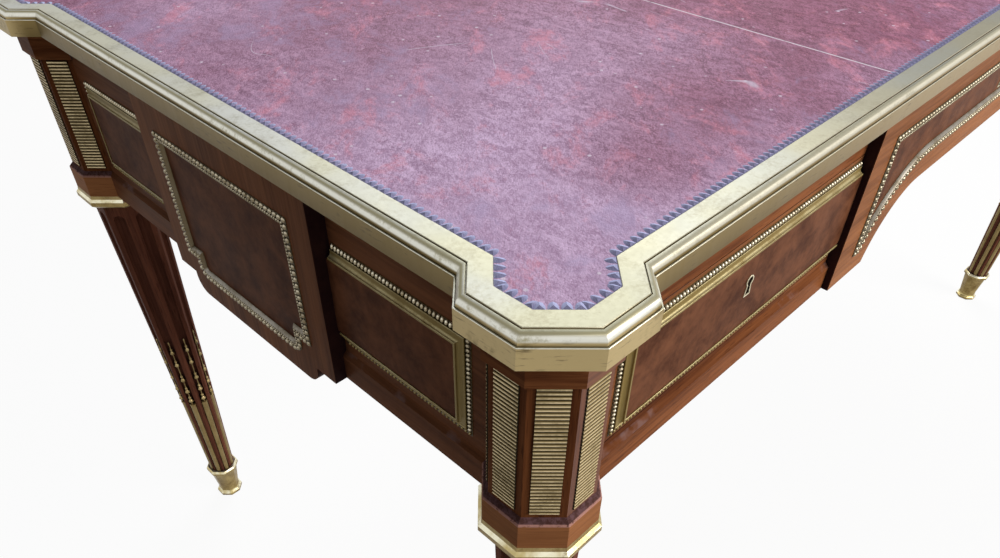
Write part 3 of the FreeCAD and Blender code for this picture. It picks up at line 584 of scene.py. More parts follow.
# %% [markdown]
# The cast collars and feet differ by their slope: level ledges hold dark dust, slopes and rims carry a pale
# painted highlight as well as rubbing, the upright facets are a dull gold, and hollows are painted dark, as
# shade with grime.

# %% Cast brass
def cast_finish():
    material, shader, place = new_finish("gilt_castings", Specular_IOR_Level=0.08)
    upward = facing(place, "Z")
    blotches, specks = brass_marks(place, blotch_scale=60.0)
    wear = blotches * 0.7 + specks * 0.3
    facet = mixed(rise(wear, 0.3, 0.65), colour(0.17, 0.105, 0.030), colour(0.42, 0.31, 0.125))
    # Painted highlight, partly rubbing: slopes and rims are paled.
    shine = rise(upward, 0.12, 0.35) * rise(upward, 0.97, 0.9) * rise(wear, 0.28, 0.46)
    gold = noise(place, 34.0, detail=4.0, roughness=0.6)
    rubbed_and_lit = mixed(rise(gold, 0.4, 0.6), colour(0.52, 0.42, 0.19), colour(0.88, 0.84, 0.64))
    base = mixed(shine, facet, rubbed_and_lit)
    ledge = rise(upward, 0.95, 0.99)
    base = mixed(ledge * 0.8, base, colour(0.15, 0.125, 0.120))
    # Painted shade with grime: hollows go dark.
    shade_and_grime = rise(openness(place, 4 * mm), 0.6, 0.2)
    base = mixed(shade_and_grime, base, grime_and_shade)
    rough = blotches * 0.2 + specks * 0.1 + shade_and_grime * 0.3 + 0.22
    connect(shader, Base_Color=base, Metallic=shine * 0.4 + 0.5 - ledge * 0.4, Roughness=rough,
            Normal=bumped(blotches + specks, 0.06, 0.0004))
    return material


cast_gilt = cast_finish()
print("finish: cast brass")

# %% [markdown]
# The edge of the top differs in each part. Its band is pale, most of all at the ends, its nose carries a
# painted highlight on its polish, and its upright face is a dull olive that is yellow at the corners. In the
# middle of the long sides the band is darker and the face paler. The normal tells these parts from each
# other, and hollows are painted dark, as shade with grime.

# %% Gilt edge
end_from, end_full = 655 * mm, 700 * mm
corner_from, corner_full = 294 * mm, 312 * mm
middle_from, middle_full = 620 * mm, 250 * mm
far_from, far_full = -260 * mm, -40 * mm
face_foot, face_head = 744 * mm, 763 * mm


def band_colour(place, wear, end_share, middle_share):
    """The colour of the level band, along the sides and along the ends."""
    cool = rise(noise(place, 9.0, detail=3.0), 0.4, 0.6)
    middle_band = mixed(cool, colour(0.215, 0.198, 0.135), colour(0.200, 0.198, 0.162))
    outer_band = mixed(cool, colour(0.410, 0.390, 0.275), colour(0.390, 0.387, 0.320))
    near_end = mixed(cool, colour(0.37, 0.358, 0.255), colour(0.35, 0.350, 0.300))
    far_end = mixed(cool, colour(0.45, 0.440, 0.345), colour(0.44, 0.445, 0.410))
    side_band = mixed(middle_share, outer_band, middle_band)
    end_band = mixed(rise(part_of(place, "Y"), far_from, far_full), near_end, far_end)
    band = mixed(end_share, side_band, end_band)
    return mixed(rise(wear, 0.54, 0.36) * 0.5, band, colour(0.17, 0.148, 0.085))


def face_colour(place, blotches, corner_share, middle_share):
    """The colour of the upright face, which is lighter above and scored lengthwise."""
    height = rise(part_of(place, "Z"), face_foot, face_head)
    face = mixed(height, colour(0.15, 0.105, 0.038), colour(0.235, 0.168, 0.063))
    face = mixed(middle_share * 0.7, face, colour(0.42, 0.33, 0.200))
    face = mixed(corner_share * rise(blotches, 0.2, 0.45), face, colour(0.52, 0.40, 0.195))
    scored = noise(stretched(place, (0.12, 0.12, 1.0)), 520.0, detail=3.0, roughness=0.7)
    scores = rise(scored * 0.7 + blotches * 0.3, 0.45, 0.33)
    return mixed(scores * 0.6, face, colour(0.07, 0.050, 0.024))


def edge_finish():
    material, shader, place = new_finish("gilt_edge", Specular_IOR_Level=0.12)
    upward = facing(place, "Z")
    level_share = rise(upward, 0.9, 0.97)
    round_share = rise(upward, 0.1, 0.3)
    # Painted highlight: a band round the nose, between two slopes, is painted bright.
    nose_highlight = round_share * rise(upward, 0.85, 0.5)
    from_middle = abs(part_of(place, "X"))
    end_share = rise(from_middle, end_from, end_full)
    middle_share = rise(from_middle, middle_from, middle_full)
    corner_share = end_share * rise(abs(part_of(place, "Y")), corner_from, corner_full)
    blotches, specks = brass_marks(place)
    runs = noise(stretched(place, (0.08, 0.08, 1.0)), 300.0, detail=3.0, roughness=0.6)
    wear = blotches * 0.45 + specks * 0.3 + runs * 0.25
    upper_nose = mixed(end_share, colour(0.36, 0.335, 0.240), colour(0.33, 0.30, 0.185))
    base = mixed(round_share, face_colour(place, blotches, corner_share, middle_share), upper_nose)
    base = mixed(level_share, base, band_colour(place, wear, end_share, middle_share))
    # The painted highlight on the nose, broken up by wear.
    nose_highlight_colour = mixed(end_share, colour(0.54, 0.51, 0.410), colour(0.72, 0.71, 0.63))
    base = mixed(nose_highlight * rise(wear, 0.32, 0.5), base, nose_highlight_colour)
    # Painted shade with grime: hollows go dark.
    shade_and_grime = rise(openness(place, 3 * mm), 0.55, 0.2)
    base = mixed(shade_and_grime, base, grime_and_shade)
    scuffs = scuff_marks(place)
    shine = nose_highlight * (end_share * 0.5 + 0.5)
    rough = blotches * 0.16 + scuffs * 0.16 + shade_and_grime * 0.3 + 0.3 - shine * 0.08
    connect(shader, Base_Color=base, Metallic=shine * 0.4 + 0.5, Roughness=rough,
            Normal=bumped(scuffs + specks, 0.05, 0.0003))
    return material


edge_gilt = edge_finish()
print("finish: the brass edge of the top")

# %% [markdown]
# ## Leather
# The writing surface is old burgundy leather: pale mauve in clouds, worn red in patches, with fine grain,
# creases, pale scratches and specks, and two seams where its three skins meet. The pale mauve is partly the
# leather's own fade and partly a painted sheen, strongest towards the near left corner, and broad spots make
# it paler in some places and less pale in others. The crests of its fine relief are painted lighter and its
# valleys darker, as painted light and shade with some wear.

# %% Leather patterns
leather_level = 0.769
# Painted sheen with the leather's own fade: a level of paleness, and spots, each with x, y, reach and strength.
paled_level = 0.25
paled_spots = (
    (-0.71, -0.331, 0.50, 0.90), (-0.71, -0.331, 0.13, 0.40), (-0.59, -0.29, 0.09, -0.40),
    (-0.52, -0.27, 0.14, -0.45), (-0.40, -0.28, 0.13, -0.40), (-0.34, -0.09, 0.09, -0.15),
    (-0.65, 0.17, 0.17, 0.45), (-0.20, -0.20, 0.20, -0.50),
)
seam_place = 309 * mm
seam_half = 1.3 * mm


def paleness(place):
    """How pale the burgundy is, from its own fade and a painted sheen: a level and broad spots, each with its
    x, y, reach and strength.
    """
    paled = paled_level
    for x, y, reach, strength in paled_spots:
        middle = (x, y, leather_level)
        away = place.node("ShaderNodeVectorMath", {"operation": "DISTANCE"}, {0: place, 1: middle}, output=1)
        paled = rise(away, reach, 0.0) * strength + paled
    return paled


def hairlines(place, scale, width, turn):
    """Thin lines where a stretched noise crosses its middle value."""
    field = noise(stretched(place, (0.35, 1.0, 1.0), turn=turn), scale, detail=1.0, distortion=0.4)
    return rise(abs(field - 0.5), width, width * 0.3)


def cell_middles(place, scale):
    """The distance from the middle of the nearest of many small cells."""
    return place.node("ShaderNodeTexVoronoi", {}, {"Vector": place, "Scale": scale})


def leather_marks(base, place, patches, flakes, seam):
    """A leather's colour with pale flecks, scratches and specks, and the seams where they show."""
    flecks = rise(flakes * 0.5 + patches * 0.5, 0.6, 0.66)
    base = mixed(flecks * 0.5, base, colour(0.66, 0.53, 0.68))
    spread = noise(place, 13.0, detail=2.0)
    scratches = hairlines(place, 7.0, 0.0026, 0.5) * rise(spread, 0.58, 0.64)
    scratches = scratches + hairlines(place, 11.0, 0.0022, 2.1) * rise(spread, 0.40, 0.34)
    base = mixed(scratches * 0.6, base, colour(0.66, 0.58, 0.72))
    specks = rise(cell_middles(place, 60.0), 0.11, 0.06) * rise(spread, 0.45, 0.52)
    base = mixed(specks * 0.7, base, colour(0.74, 0.66, 0.78))
    return mixed(seam * rise(patches, 0.3, 0.45) * 0.8, base, colour(0.80, 0.74, 0.82))


print("leather patterns:", len(paled_spots), "spots that have faded more or less")

# %% Leather
def leather_finish(name, pressed):
    """pressed turns the colour to the slate blue of the pressed border, painted pale, as light, on the sides
    that look to the back right, and dark on the others."""
    material, shader, place = new_finish(name, Specular_IOR_Level=0.05)
    skin = stretched(place, (1.0, 0.5, 1.0), turn=pi / 4)
    creased = stretched(place, (0.5, 1.0, 1.0), turn=pi / 2)
    clouds = noise(place, 4.0, detail=6.0, roughness=0.65, distortion=0.6)
    blooms = noise(skin, 17.0, detail=6.0, roughness=0.72, distortion=0.8)
    patches = noise(skin, 40.0, detail=6.0, roughness=0.75, distortion=0.5)
    flakes = noise(skin, 400.0, detail=5.0, roughness=0.75, distortion=0.6)
    folds = noise(creased, 95.0, detail=4.0, roughness=0.65, distortion=1.0)
    fine = noise(skin, 1000.0, detail=3.0, roughness=0.7)
    # Painted sheen with fade: the share of pale mauve.
    fade_and_sheen = paleness(place) + clouds * 0.9 + blooms * 0.7 - 0.8
    relief = flakes * 0.4 + folds * 0.3 + fine * 0.3
    flaked = rise(clouds * 0.5 + patches * 0.5, 0.4, 0.56)
    # Painted light and shade, with some wear: the crests of the relief are lighter and its valleys darker.
    crest = (rise(relief, 0.40, 0.60) - 0.5) * (flaked * 0.5 + 0.5) + 0.5
    valley_tint = mixed(fade_and_sheen, colour(0.125, 0.028, 0.055), colour(0.330, 0.195, 0.325))
    crest_tint = mixed(fade_and_sheen, colour(0.380, 0.150, 0.245), colour(0.690, 0.500, 0.720))
    base = mixed(crest, valley_tint, crest_tint)
    red = rise(patches * 0.5 + blooms * 0.5, 0.51, 0.63)
    base = mixed(red * 0.6, base, colour(0.66, 0.240, 0.320))
    blue = rise(patches * 0.5 + clouds * 0.5, 0.46, 0.37)
    base = mixed(blue * 0.3, base, colour(0.40, 0.35, 0.58))
    seam = rise(abs(abs(part_of(place, "X")) - seam_place), seam_half, seam_half * 0.4)
    base = leather_marks(base, place, patches, flakes, seam)
    if pressed:
        # Painted light: the sides of the leaves that look to the back right are pale slate, the others dark.
        lit_side = rise(facing(place, "X") + facing(place, "Y"), -0.3, 0.3)
        slate = mixed(lit_side, colour(0.180, 0.205, 0.345), colour(0.47, 0.53, 0.80))
        base = mixed(blooms * 0.2 + 0.75, base, slate)
    height = cell_middles(place, 620.0) * 0.35 + relief * 1.6 + fine * 0.4 - seam * 1.2
    rough = blooms * 0.25 + fine * 0.15 + 0.36
    connect(shader, Base_Color=base, Roughness=rough, Normal=bumped(height, 0.5, 0.0008))
    return material


leather = leather_finish("leather", pressed=False)
pressed_leather = leather_finish("leather_pressed", pressed=True)
print("finishes: leather and its pressed border")

# %% [markdown]
# ## Dress the solids
# A solid whose shape is right keeps its mesh and only changes its material. The list goes from the
# particular to the general: the first word that a node's name holds decides.

# %% Dress the solids
dressing = (
    ("leather_top", leather), ("top_edge", edge_gilt), ("top_screws", steel), ("_bolt", steel),
    ("sabot", cast_gilt), ("collars", cast_gilt), ("reeded", reed_gilt), ("chandelles", rod_gilt),
    ("mounts", frame_gilt), ("escutcheon", lock_gilt), ("_lock", rod_gilt),
    ("leg_", mahogany_leg), ("end_tablet", tablet_veneer), ("end_board", end_veneer),
    ("centre_front", block_veneer), ("false_front", drawer_veneer), ("stiles", mahogany_z),
    ("rail", mahogany_x), ("left_front", drawer_veneer), ("right_front", drawer_veneer), ("", oak),
)


def dress(node):
    finish = next(material for word, material in dressing if word in node.name)
    node.data.materials.clear()
    node.data.materials.append(finish)


for node in nodes.values():
    dress(node)
print("dressed:", len(nodes), "solids")

# %% [markdown]
# ## Helpers for new pieces
# Each new piece is a bmesh that operators shape. It is drawn in millimetres, often flat, with x along a
# face of the desk, y up and z out of the face, and a matrix then stands it on the desk in metres.

# %% Helpers for new pieces
ground = 15.41


def axes(along, across, out):
    """The matrix that turns x, y and z to three directions."""
    return Matrix((along, across, out)).transposed().to_4x4()


def stood(origin, turn):
    """The matrix that turns a drawing and stands it at an origin in millimetres."""
    return Matrix.Scale(mm, 4) @ Matrix.Translation(origin) @ turn


def on_face(origin, along, out):
    """The matrix from a flat drawing to a face of the desk."""
    return stood(origin, axes(along, (0, 0, 1), out))


def add_copies(whole, drawing, places):
    """Adds a copy of the drawing to the whole for each matrix, and frees the drawing."""
    mesh = bpy.data.meshes.new("drawing")
    for place in places:
        drawing.to_mesh(mesh)
        mesh.transform(place)
        whole.from_mesh(mesh)
    bpy.data.meshes.remove(mesh)
    drawing.free()


def finished(bm, name, body, materials, sharp):
    """Makes a named piece of a bmesh, smooth except over edges sharper than the given degrees."""
    bmesh.ops.recalc_face_normals(bm, faces=bm.faces)
    mesh = bpy.data.meshes.new(name)
    bm.to_mesh(mesh)
    bm.free()
    mesh.shade_smooth()
    mesh.set_sharp_from_angle(angle=radians(sharp))
    for material in materials:
        mesh.materials.append(material)
    piece = bpy.data.objects.new(name, mesh)
    bpy.context.scene.collection.objects.link(piece)
    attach(piece, body)
    mesh.calc_loop_triangles()
    print("piece:", name, "triangles:", len(mesh.loop_triangles))
    return piece


def assembled(name, body, materials, slot, *copies, sharp):
    """A finished piece of drawings, each given with the matrices of its copies."""
    bm = bmesh.new()
    for drawing, places in copies:
        add_copies(bm, drawing, places)
    return finished(bm, name, body, materials, sharp)


def flat_face(bm, outline):
    face = bm.faces.new([bm.verts.new((x, y, 0)) for x, y in outline])
    face.normal_update()
    return face


def stepped(bm, face, steps):
    """Insets a face again and again; each step goes in by its first number and out by its second."""
    for inward, outward in steps:
        bmesh.ops.inset_individual(bm, faces=[face], thickness=inward, depth=outward, use_even_offset=True)


def open_edges(bm):
    return [edge for edge in bm.edges if edge.is_boundary]


print("legs:", 2 * leg_x, "by", 2 * leg_y, "mm apart")

# %% [markdown]
# ## The brass edge of the top
# The edge is a moulding with mitred corners: an upright face, a fine arris, a rounded nose, a groove and a
# flat band that borders the leather. A profile could be swept along the outline, but insetting the
# outline's own face step by step makes the mitres by itself, also where the octagonal corners stand out of
# the straight runs.

# %% Brass edge
edge_apothem, corner_step = 56.5, 20.0
edge_low, edge_high = 747.0, 770.0
edge_wall, edge_band, edge_plate = 3.5, 22.0, 3.0
nose_width, nose_height, nose_steps = 4.95, 6.5, 8
edge_arris = [(0.0, 15.0), (0.25, 0.35), (0.75, 0.0), (0.15, -0.7), (0.35, 0.0), (0.05, 1.35)]
edge_groove = [(0.2, -0.1), (0.15, -0.9), (0.55, 0.0), (0.15, 1.15), (0.35, 0.35)]
band_round = 0.25


def desk_outline(apothem):
    """The plan of the top: runs set back from octagonal corners, anticlockwise from the left end."""
    run = apothem - corner_step
    side = apothem * tan(pi / leg_sides)
    meet = apothem * sqrt(2) - run
    corner = [(-run, meet), (-apothem, side), (-apothem, -side)]
    corner += [(y, x) for x, y in reversed(corner)]
    points = [(-leg_x + x, -leg_y + y) for x, y in corner]
    points += [(-x, y) for x, y in reversed(points)]
    return points + [(-x, -y) for x, y in points]


def nose_profile():
    """The inset steps of a quarter round."""
    turns = [i * pi / 2 / nose_steps for i in range(nose_steps + 1)]
    return [(nose_width * (cos(a) - cos(b)), nose_height * (sin(b) - sin(a)))
            for a, b in zip(turns, turns[1:])]


def brass_edge():
    bm = bmesh.new()
    outline = desk_outline(edge_apothem)
    top = flat_face(bm, outline)
    under = flat_face(bm, reversed(outline))
    moulding = edge_arris + nose_profile() + edge_groove
    stepped(bm, top, moulding)
    band = edge_band - band_round - sum(inward for inward, outward in moulding)
    stepped(bm, top, [(band, 0.0), (band_round, -band_round), (0.0, band_round - edge_plate)])
    inside = edge_high - edge_low - edge_plate
    stepped(bm, under, [(edge_wall, 0.0), (0.0, -inside), (edge_band - edge_wall, 0.0)])
    bmesh.ops.delete(bm, geom=[top, under], context="FACES_ONLY")
    bmesh.ops.remove_doubles(bm, verts=bm.verts, dist=0.02)
    print("open edges of the brass edge:", len(open_edges(bm)))
    bmesh.ops.transform(bm, verts=bm.verts, matrix=stood((0, 0, edge_low), Matrix.Identity(4)))
    return finished(bm, "top_moulding", "frame", [edge_gilt], sharp=32)


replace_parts(brass_edge(), "top_edge")

# %% [markdown]
# ## The pressed border of the leather
# A row of small pointed leaves, pressed with a hot roller, follows the brass all round. It could be drawn
# in the leather's material, but the leaves catch the light at low angles, so each one is a small raised
# face: seven corners, poked so that the middle stands up.

# %% Pressed border
leather_apothem, leather_high = 34.5, 769.4
leaf_pitch, leaf_length, leaf_rise = 6.37, 7.4, 1.2
leaf_side = [(0.5, 0.0), (0.47, 0.45), (0.30, 0.82)]
leaf_middle = 0.4


def leaf():
    bm = bmesh.new()
    shape = leaf_side + [(0.0, 1.0)] + [(-x, y) for x, y in reversed(leaf_side)]
    outline = [(x * leaf_pitch, y * leaf_length) for x, y in shape]
    face = flat_face(bm, outline)
    flat_face(bm, outline[::-1])
    middle = bmesh.ops.poke(bm, faces=[face])["verts"][0]
    middle.co = Vector((0, leaf_length * leaf_middle, leaf_rise))
    bmesh.ops.remove_doubles(bm, verts=bm.verts, dist=0.02)
    return bm


def leaf_places():
    """A place for each leaf: along every straight of the leather's outline, pointing inward."""
    outline = [Vector((x, y, leather_high)) for x, y in desk_outline(leather_apothem)]
    places = []
    for start, end in zip(outline, outline[1:] + outline[:1]):
        along = (end - start).normalized()
        inward = Vector((-along.y, along.x, 0))
        count = round((end - start).length / leaf_pitch)
        for i in range(count):
            middle = start + (end - start) * (i + 0.5) / count
            places.append(stood(middle, axes(along, inward, (0, 0, 1))))
    return places


assembled("leather_border", "frame", [pressed_leather], "leather", (leaf(), leaf_places()), sharp=20)

# %% [markdown]
# ## Beads
# Rows of beads run along the brass frames. A bead needs only a few dozen faces, because there are thousands
# of them. The places along a row are spread evenly, with a bead exactly on each corner.

# %% Beads
def row_places(path, pitch):
    """Pairs of a place and a direction, evenly along a polyline, without its last point."""
    lengths = [(b - a).length for a, b in zip(path, path[1:])]
    count = max(1, round(sum(lengths) / pitch))
    step = sum(lengths) / count
    places = []
    walked, stretch = 0.0, 0
    for i in range(count):
        while i * step - walked > lengths[stretch]:
            walked += lengths[stretch]
            stretch += 1
        along = (path[stretch + 1] - path[stretch]).normalized()
        places.append((path[stretch] + along * (i * step - walked), along))
    return places


# The bright bead finish is a painted highlight, and the dark beds are painted shade with grime.
frame_finishes = [frame_gilt, lit_bead_gilt, plate_gilt, bed_shade_gilt, grey_gilt]
bar_metal, lit_bead, plain_slope, shaded_bead_bed, grey_bead = range(len(frame_finishes))
bead_sides, bead_rings = 8, 6


def bead_row(bm, path, pitch, size, lift, finish):
    """Beads in a row. size is half the length along the row, across it and out of the face, and finish a
    place in the list of finishes."""
    bead = bmesh.new()
    shape = Matrix.Diagonal((*size, 1))
    bmesh.ops.create_uvsphere(bead, u_segments=bead_sides, v_segments=bead_rings, radius=1.0, matrix=shape)
    for face in bead.faces:
        face.material_index = finish
    places = []
    for place, along in row_places([Vector((x, y, lift)) for x, y in path], pitch):
        places.append(Matrix.Translation(place) @ axes(along, (-along.y, along.x, 0), (0, 0, 1)))
    add_copies(bm, bead, places)


print("faces of a bead:", bead_sides * bead_rings)

# %% [markdown]
# ## Three-sided frames
# A brass frame steps up to the raised panel of each side drawer and beside each tablet: a row of beads, a
# hollow and a fillet just higher than the panel. It is open towards the middle: a closed ring of insets
# makes the mitres, and a cut opens one side. The beads of the top row are the largest, and their bright
# finish is a painted highlight; the upright row takes a dimmer finish and the low row the bars' duller
# metal, as painted shade.

# %% Three-sided frames
side_frame_post, side_frame_low, side_frame_high = 52.2, 607.5, 702.3
side_bead_size, side_bead_pitch, side_bead_inside, side_bead_lift = (1.6, 2.45, 2.1), 3.95, 2.3, 0.6
upright_bead_size = (1.6, 2.0, 2.0)
low_bead_size = (1.35, 1.6, 1.65)
side_section = [(0, 0), (0, 0.5), (4.9, 0.5), (4.9, 2.2), (5.2, 2.5), (6.0, 2.5), (6.3, 2.1), (7.6, 2.2),
                (9.2, 2.8), (10.2, 3.9), (10.5, 4.6), (10.5, 5.2), (10.8, 5.5), (12.2, 5.5), (12.5, 5.2),
                (12.5, 4.3), (13.0, 4.3), (13.0, 0)]
bed_height, cut_margin = 0.85, 80
front_frame_end, end_frame_end = 380.7, 199.5
front_y, end_x = leg_y + ground, leg_x + ground


def steps_along(section):
    """The inset steps of a section, which is given as points: distance inside the outline, then height."""
    return [(b[0] - a[0], b[1] - a[1]) for a, b in zip(section, section[1:])]


def ring(outline, steps):
    """A closed frame with a flat back, as a bmesh."""
    bm = bmesh.new()
    face = flat_face(bm, outline)
    stepped(bm, face, steps)
    bmesh.ops.delete(bm, geom=[face], context="FACES_ONLY")
    bmesh.ops.bridge_loops(bm, edges=open_edges(bm))
    return bm


def shade_bead_beds(bm):
    """Gives the flat strips that lie under the beads a dark finish, as painted shade with grime."""
    bmesh.ops.recalc_face_normals(bm, faces=bm.faces)
    for face in bm.faces:
        if face.normal.z > 0.9 and face.calc_center_median().z < bed_height:
            face.material_index = shaded_bead_bed


def three_sided(end):
    """A frame whose open side is cut square at end, a distance from the leg's axis."""
    past = end + cut_margin
    low, high = side_frame_low, side_frame_high
    outline = [(side_frame_post, low), (past, low), (past, high), (side_frame_post, high)]
    bm = ring(outline, steps_along(side_section))
    geometry = bm.verts[:] + bm.edges[:] + bm.faces[:]
    bmesh.ops.bisect_plane(bm, geom=geometry, plane_co=(end, 0, 0), plane_no=(1, 0, 0), clear_outer=True)
    bmesh.ops.holes_fill(bm, edges=open_edges(bm))
    shade_bead_beds(bm)
    inside = side_bead_inside
    corner_x, last = side_frame_post + inside, end - inside
    corner_low, corner_high = low + inside, high - inside
    # Painted light and shade: the top row is bright, the upright row dimmer and the low row as dull as the
    # bars.
    rows = (([(last, corner_high), (corner_x, corner_high)], side_bead_size, lit_bead),
            ([(corner_x, corner_high), (corner_x, corner_low)], upright_bead_size, grey_bead),
            ([(corner_x, corner_low), (last, corner_low)], low_bead_size, bar_metal))
    for path, size, finish in rows:
        bead_row(bm, path, side_bead_pitch, size, side_bead_lift, finish)
    return bm


def drawer_frame(name, side, out, body):
    """A side drawer's frame, on the left or right, on the front or back face."""
    place = on_face((side * leg_x, out * front_y, 0), (-side, 0, 0), (0, out, 0))
    frame_copy = (three_sided(front_frame_end), [place])
    return assembled(name, body, frame_finishes, "gilt_brass", frame_copy, sharp=40)


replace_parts(drawer_frame("drawer_frame_left", -1, -1, "drawer_left"), "drawer_left_mounts")
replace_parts(drawer_frame("drawer_frame_right", 1, -1, "drawer_right"), "drawer_right_mounts")

# %% [markdown]
# ## Beaded frames round the sunk panels
# The tablets and the arched block carry a frame of two rows: large beads outside, small ones inside, and
# then a plain slope down to the sunk panel. The outlines are worked out for any distance inside the first,
# so one function serves both rows.

# %% Beaded frames
tablet_half, tablet_head, tablet_ledge = 100.0, 715.5, 592.0
tablet_step, tablet_foot, tablet_round = 84.0, 572.5, 13.0
block_side, block_head, block_foot = 290.0, 714.0, 590.0
arch_x, arch_z, arch_radius = 176.0, 550.62, 109.38
tablet_x, block_y = 740.7, 357.0
arc_steps = 14
bead_section = [(0, 0), (0, 0.5), (4.8, 0.5), (4.9, 0.8), (6.9, 0.8), (7.1, 1.2), (7.6, 1.3), (9.8, -1.4),
                (9.8, -2.0)]
large_size, large_pitch, large_inside, large_lift = (2.45, 2.2, 1.9), 5.9, 2.4, 0.5
small_size, small_pitch, small_inside, small_lift = (1.15, 1.1, 1.1), 2.95, 5.9, 0.9


def arc(centre, radius, start, end):
    turns = [start + (end - start) * i / arc_steps for i in range(arc_steps + 1)]
    return [(centre[0] + radius * cos(a), centre[1] + radius * sin(a)) for a in turns]


def both_sides(half):
    return half + [(-x, z) for x, z in reversed(half)]


def tablet_runs(inside):
    """The right half of a tablet's frame, from the top middle to the bottom middle, run by run."""
    half, head, ledge = tablet_half - inside, tablet_head - inside, tablet_ledge + inside
    step, foot, radius = tablet_step - inside, tablet_foot + inside, tablet_round - inside
    curve = arc((step - radius, foot + radius), radius, 0, -pi / 2)
    return [[(0, head), (half, head)], [(half, head), (half, ledge)], [(half, ledge), (step, ledge)],
            [(step, ledge)] + curve + [(0, foot)]]


def block_runs(inside):
    """The right half of the block's frame, from the top middle down and along the arch to the middle."""
    side, head = block_side - inside, block_head - inside
    foot, radius = block_foot + inside, arch_radius + inside
    start = asin((foot - arch_z) / radius)
    curve = arc((arch_x, arch_z), radius, start, pi / 2)
    return [[(0, head), (side, head)], [(side, head), (side, foot)],
            [(side, foot)] + curve + [(0, arch_z + radius)]]


def beaded_frame(runs):
    """Both rows and their plate, as a bmesh, from a function that gives the runs at a distance inside."""
    corners = [point for run in runs(0) for point in run[1:]]
    bm = ring(both_sides(corners[:-1])[::-1], steps_along(bead_section))
    for face in bm.faces:
        face.material_index = plain_slope
    shade_bead_beds(bm)
    for inside, pitch, size, lift in ((large_inside, large_pitch, large_size, large_lift),
                                      (small_inside, small_pitch, small_size, small_lift)):
        for run in runs(inside):
            bead_row(bm, run, pitch, size, lift, grey_bead)
            bead_row(bm, [(-x, z) for x, z in reversed(run)], pitch, size, lift, grey_bead)
    return bm


def block_frame(name, out, body):
    """The frame of the arched block on the front or back face."""
    frame_copy = (beaded_frame(block_runs), [on_face((0, out * block_y, 0), (1, 0, 0), (0, out, 0))])
    return assembled(name, body, frame_finishes, "gilt_brass", frame_copy, sharp=40)


def end_frames(name, side):
    """The brass of one end: the tablet's frame and a three-sided frame on each side of it."""
    out = (side, 0, 0)
    middle = [on_face((side * tablet_x, 0, 0), (0, 1, 0), out)]
    beside = [on_face((side * end_x, near * leg_y, 0), (0, -near, 0), out) for near in (-1, 1)]
    return assembled(name, "frame", frame_finishes, "gilt_brass", (beaded_frame(tablet_runs), middle),
                     (three_sided(end_frame_end), beside), sharp=40)


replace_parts(block_frame("block_frame_front", -1, "drawer_centre"), "drawer_centre_mounts")
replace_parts(end_frames("end_frames_left", -1), "end_mounts_left")
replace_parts(end_frames("end_frames_right", 1), "end_mounts_right")
block_frame("block_frame_back", 1, "frame")
drawer_frame("back_frame_left", -1, 1, "frame")
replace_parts(drawer_frame("back_frame_right", 1, 1, "frame"), "back_mounts")

# %% [markdown]
# ## Keyhole plates
# A raised line of brass follows each keyhole, round above and flared below. Insets of the keyhole's outline
# give the line its rounded section, and the face that is left over is painted near black, as the shaded depth
# of the hole.

# %% Keyhole plates
eye_radius, neck_half, tail_half, tail_drop = 5.0, 3.0, 4.5, 14.2
keyhole_section = [(0, 0), (0, 0.5), (0.3, 0.75), (0.8, 0.75), (1.2, 0.5), (1.2, 0.1)]
side_lock = (499.15, -351.11, 666.0)
centre_lock = (0, -355.0, 687.0)


# Painted shade: the near-black face inside each keyhole stands for the shaded depth of the hole.
def keyhole_shade_finish():
    material, shader, place = new_finish("keyhole", Specular_IOR_Level=0.0)
    shade_speckle = noise(place, 900.0, detail=2.0)
    connect(shader, Base_Color=mixed(shade_speckle, colour(0.006, 0.005, 0.004), colour(0.022, 0.016, 0.011)))
    return material


keyhole_shade = keyhole_shade_finish()
keyhole_finishes = [lock_gilt, keyhole_shade]


def keyhole_plate(name, body, place):
    neck = asin(neck_half / eye_radius)
    outline = arc((0, 0), eye_radius, neck - pi / 2, 3 * pi / 2 - neck)
    outline += [(-tail_half, -tail_drop), (tail_half, -tail_drop)]
    bm = bmesh.new()
    face = flat_face(bm, outline)
    flat_face(bm, outline[::-1])
    stepped(bm, face, steps_along(keyhole_section))
    face.material_index = keyhole_finishes.index(keyhole_shade)
    bmesh.ops.remove_doubles(bm, verts=bm.verts, dist=0.005)
    bmesh.ops.transform(bm, verts=bm.verts, matrix=on_face(place, (1, 0, 0), (0, -1, 0)))
    return finished(bm, name, body, keyhole_finishes, sharp=40)


lock_x, lock_y, lock_z = side_lock
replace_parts(keyhole_plate("keyhole_left", "drawer_left", (-lock_x, lock_y, lock_z)), "drawer_left_escutcheon")
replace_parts(keyhole_plate("keyhole_centre", "drawer_centre", centre_lock), "drawer_centre_escutcheon")
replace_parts(keyhole_plate("keyhole_right", "drawer_right", side_lock), "drawer_right_escutcheon")

# %% [markdown]
# ## Feet
# Each leg stands in a cast cup with eight sides: a rim with a bevel, facets that narrow downwards, and a
# flared foot. A profile that is spun in eight steps gives the facets at once, and a small bevel lets their
# edges catch the light.

# %% Feet
foot_profile = [(0, 0), (17.0, 0), (18.0, 1.0), (18.0, 4.6), (15.6, 6.6), (14.6, 9.5), (14.4, 13.0),
                (19.4, 52.5), (20.2, 54.2), (22.5, 55.4), (22.5, 59.0), (20.6, 62.0), (16.9, 62.0),
                (16.4, 60.0), (0, 60.0)]
facet_bevel, facet_degrees = 0.35, 30


def spun(outline, steps):
    """A bmesh of an outline, given as widths and heights, spun round the Z axis."""
    bm = bmesh.new()
    points = [bm.verts.new((width, 0, height)) for width, height in outline]
    edges = [bm.edges.new(pair) for pair in zip(points, points[1:])]
    bmesh.ops.spin(bm, geom=points + edges, cent=(0, 0, 0), axis=(0, 0, 1), angle=2 * pi, steps=steps,
                   use_merge=True)
    bmesh.ops.remove_doubles(bm, verts=bm.verts, dist=0.01)
    return bm


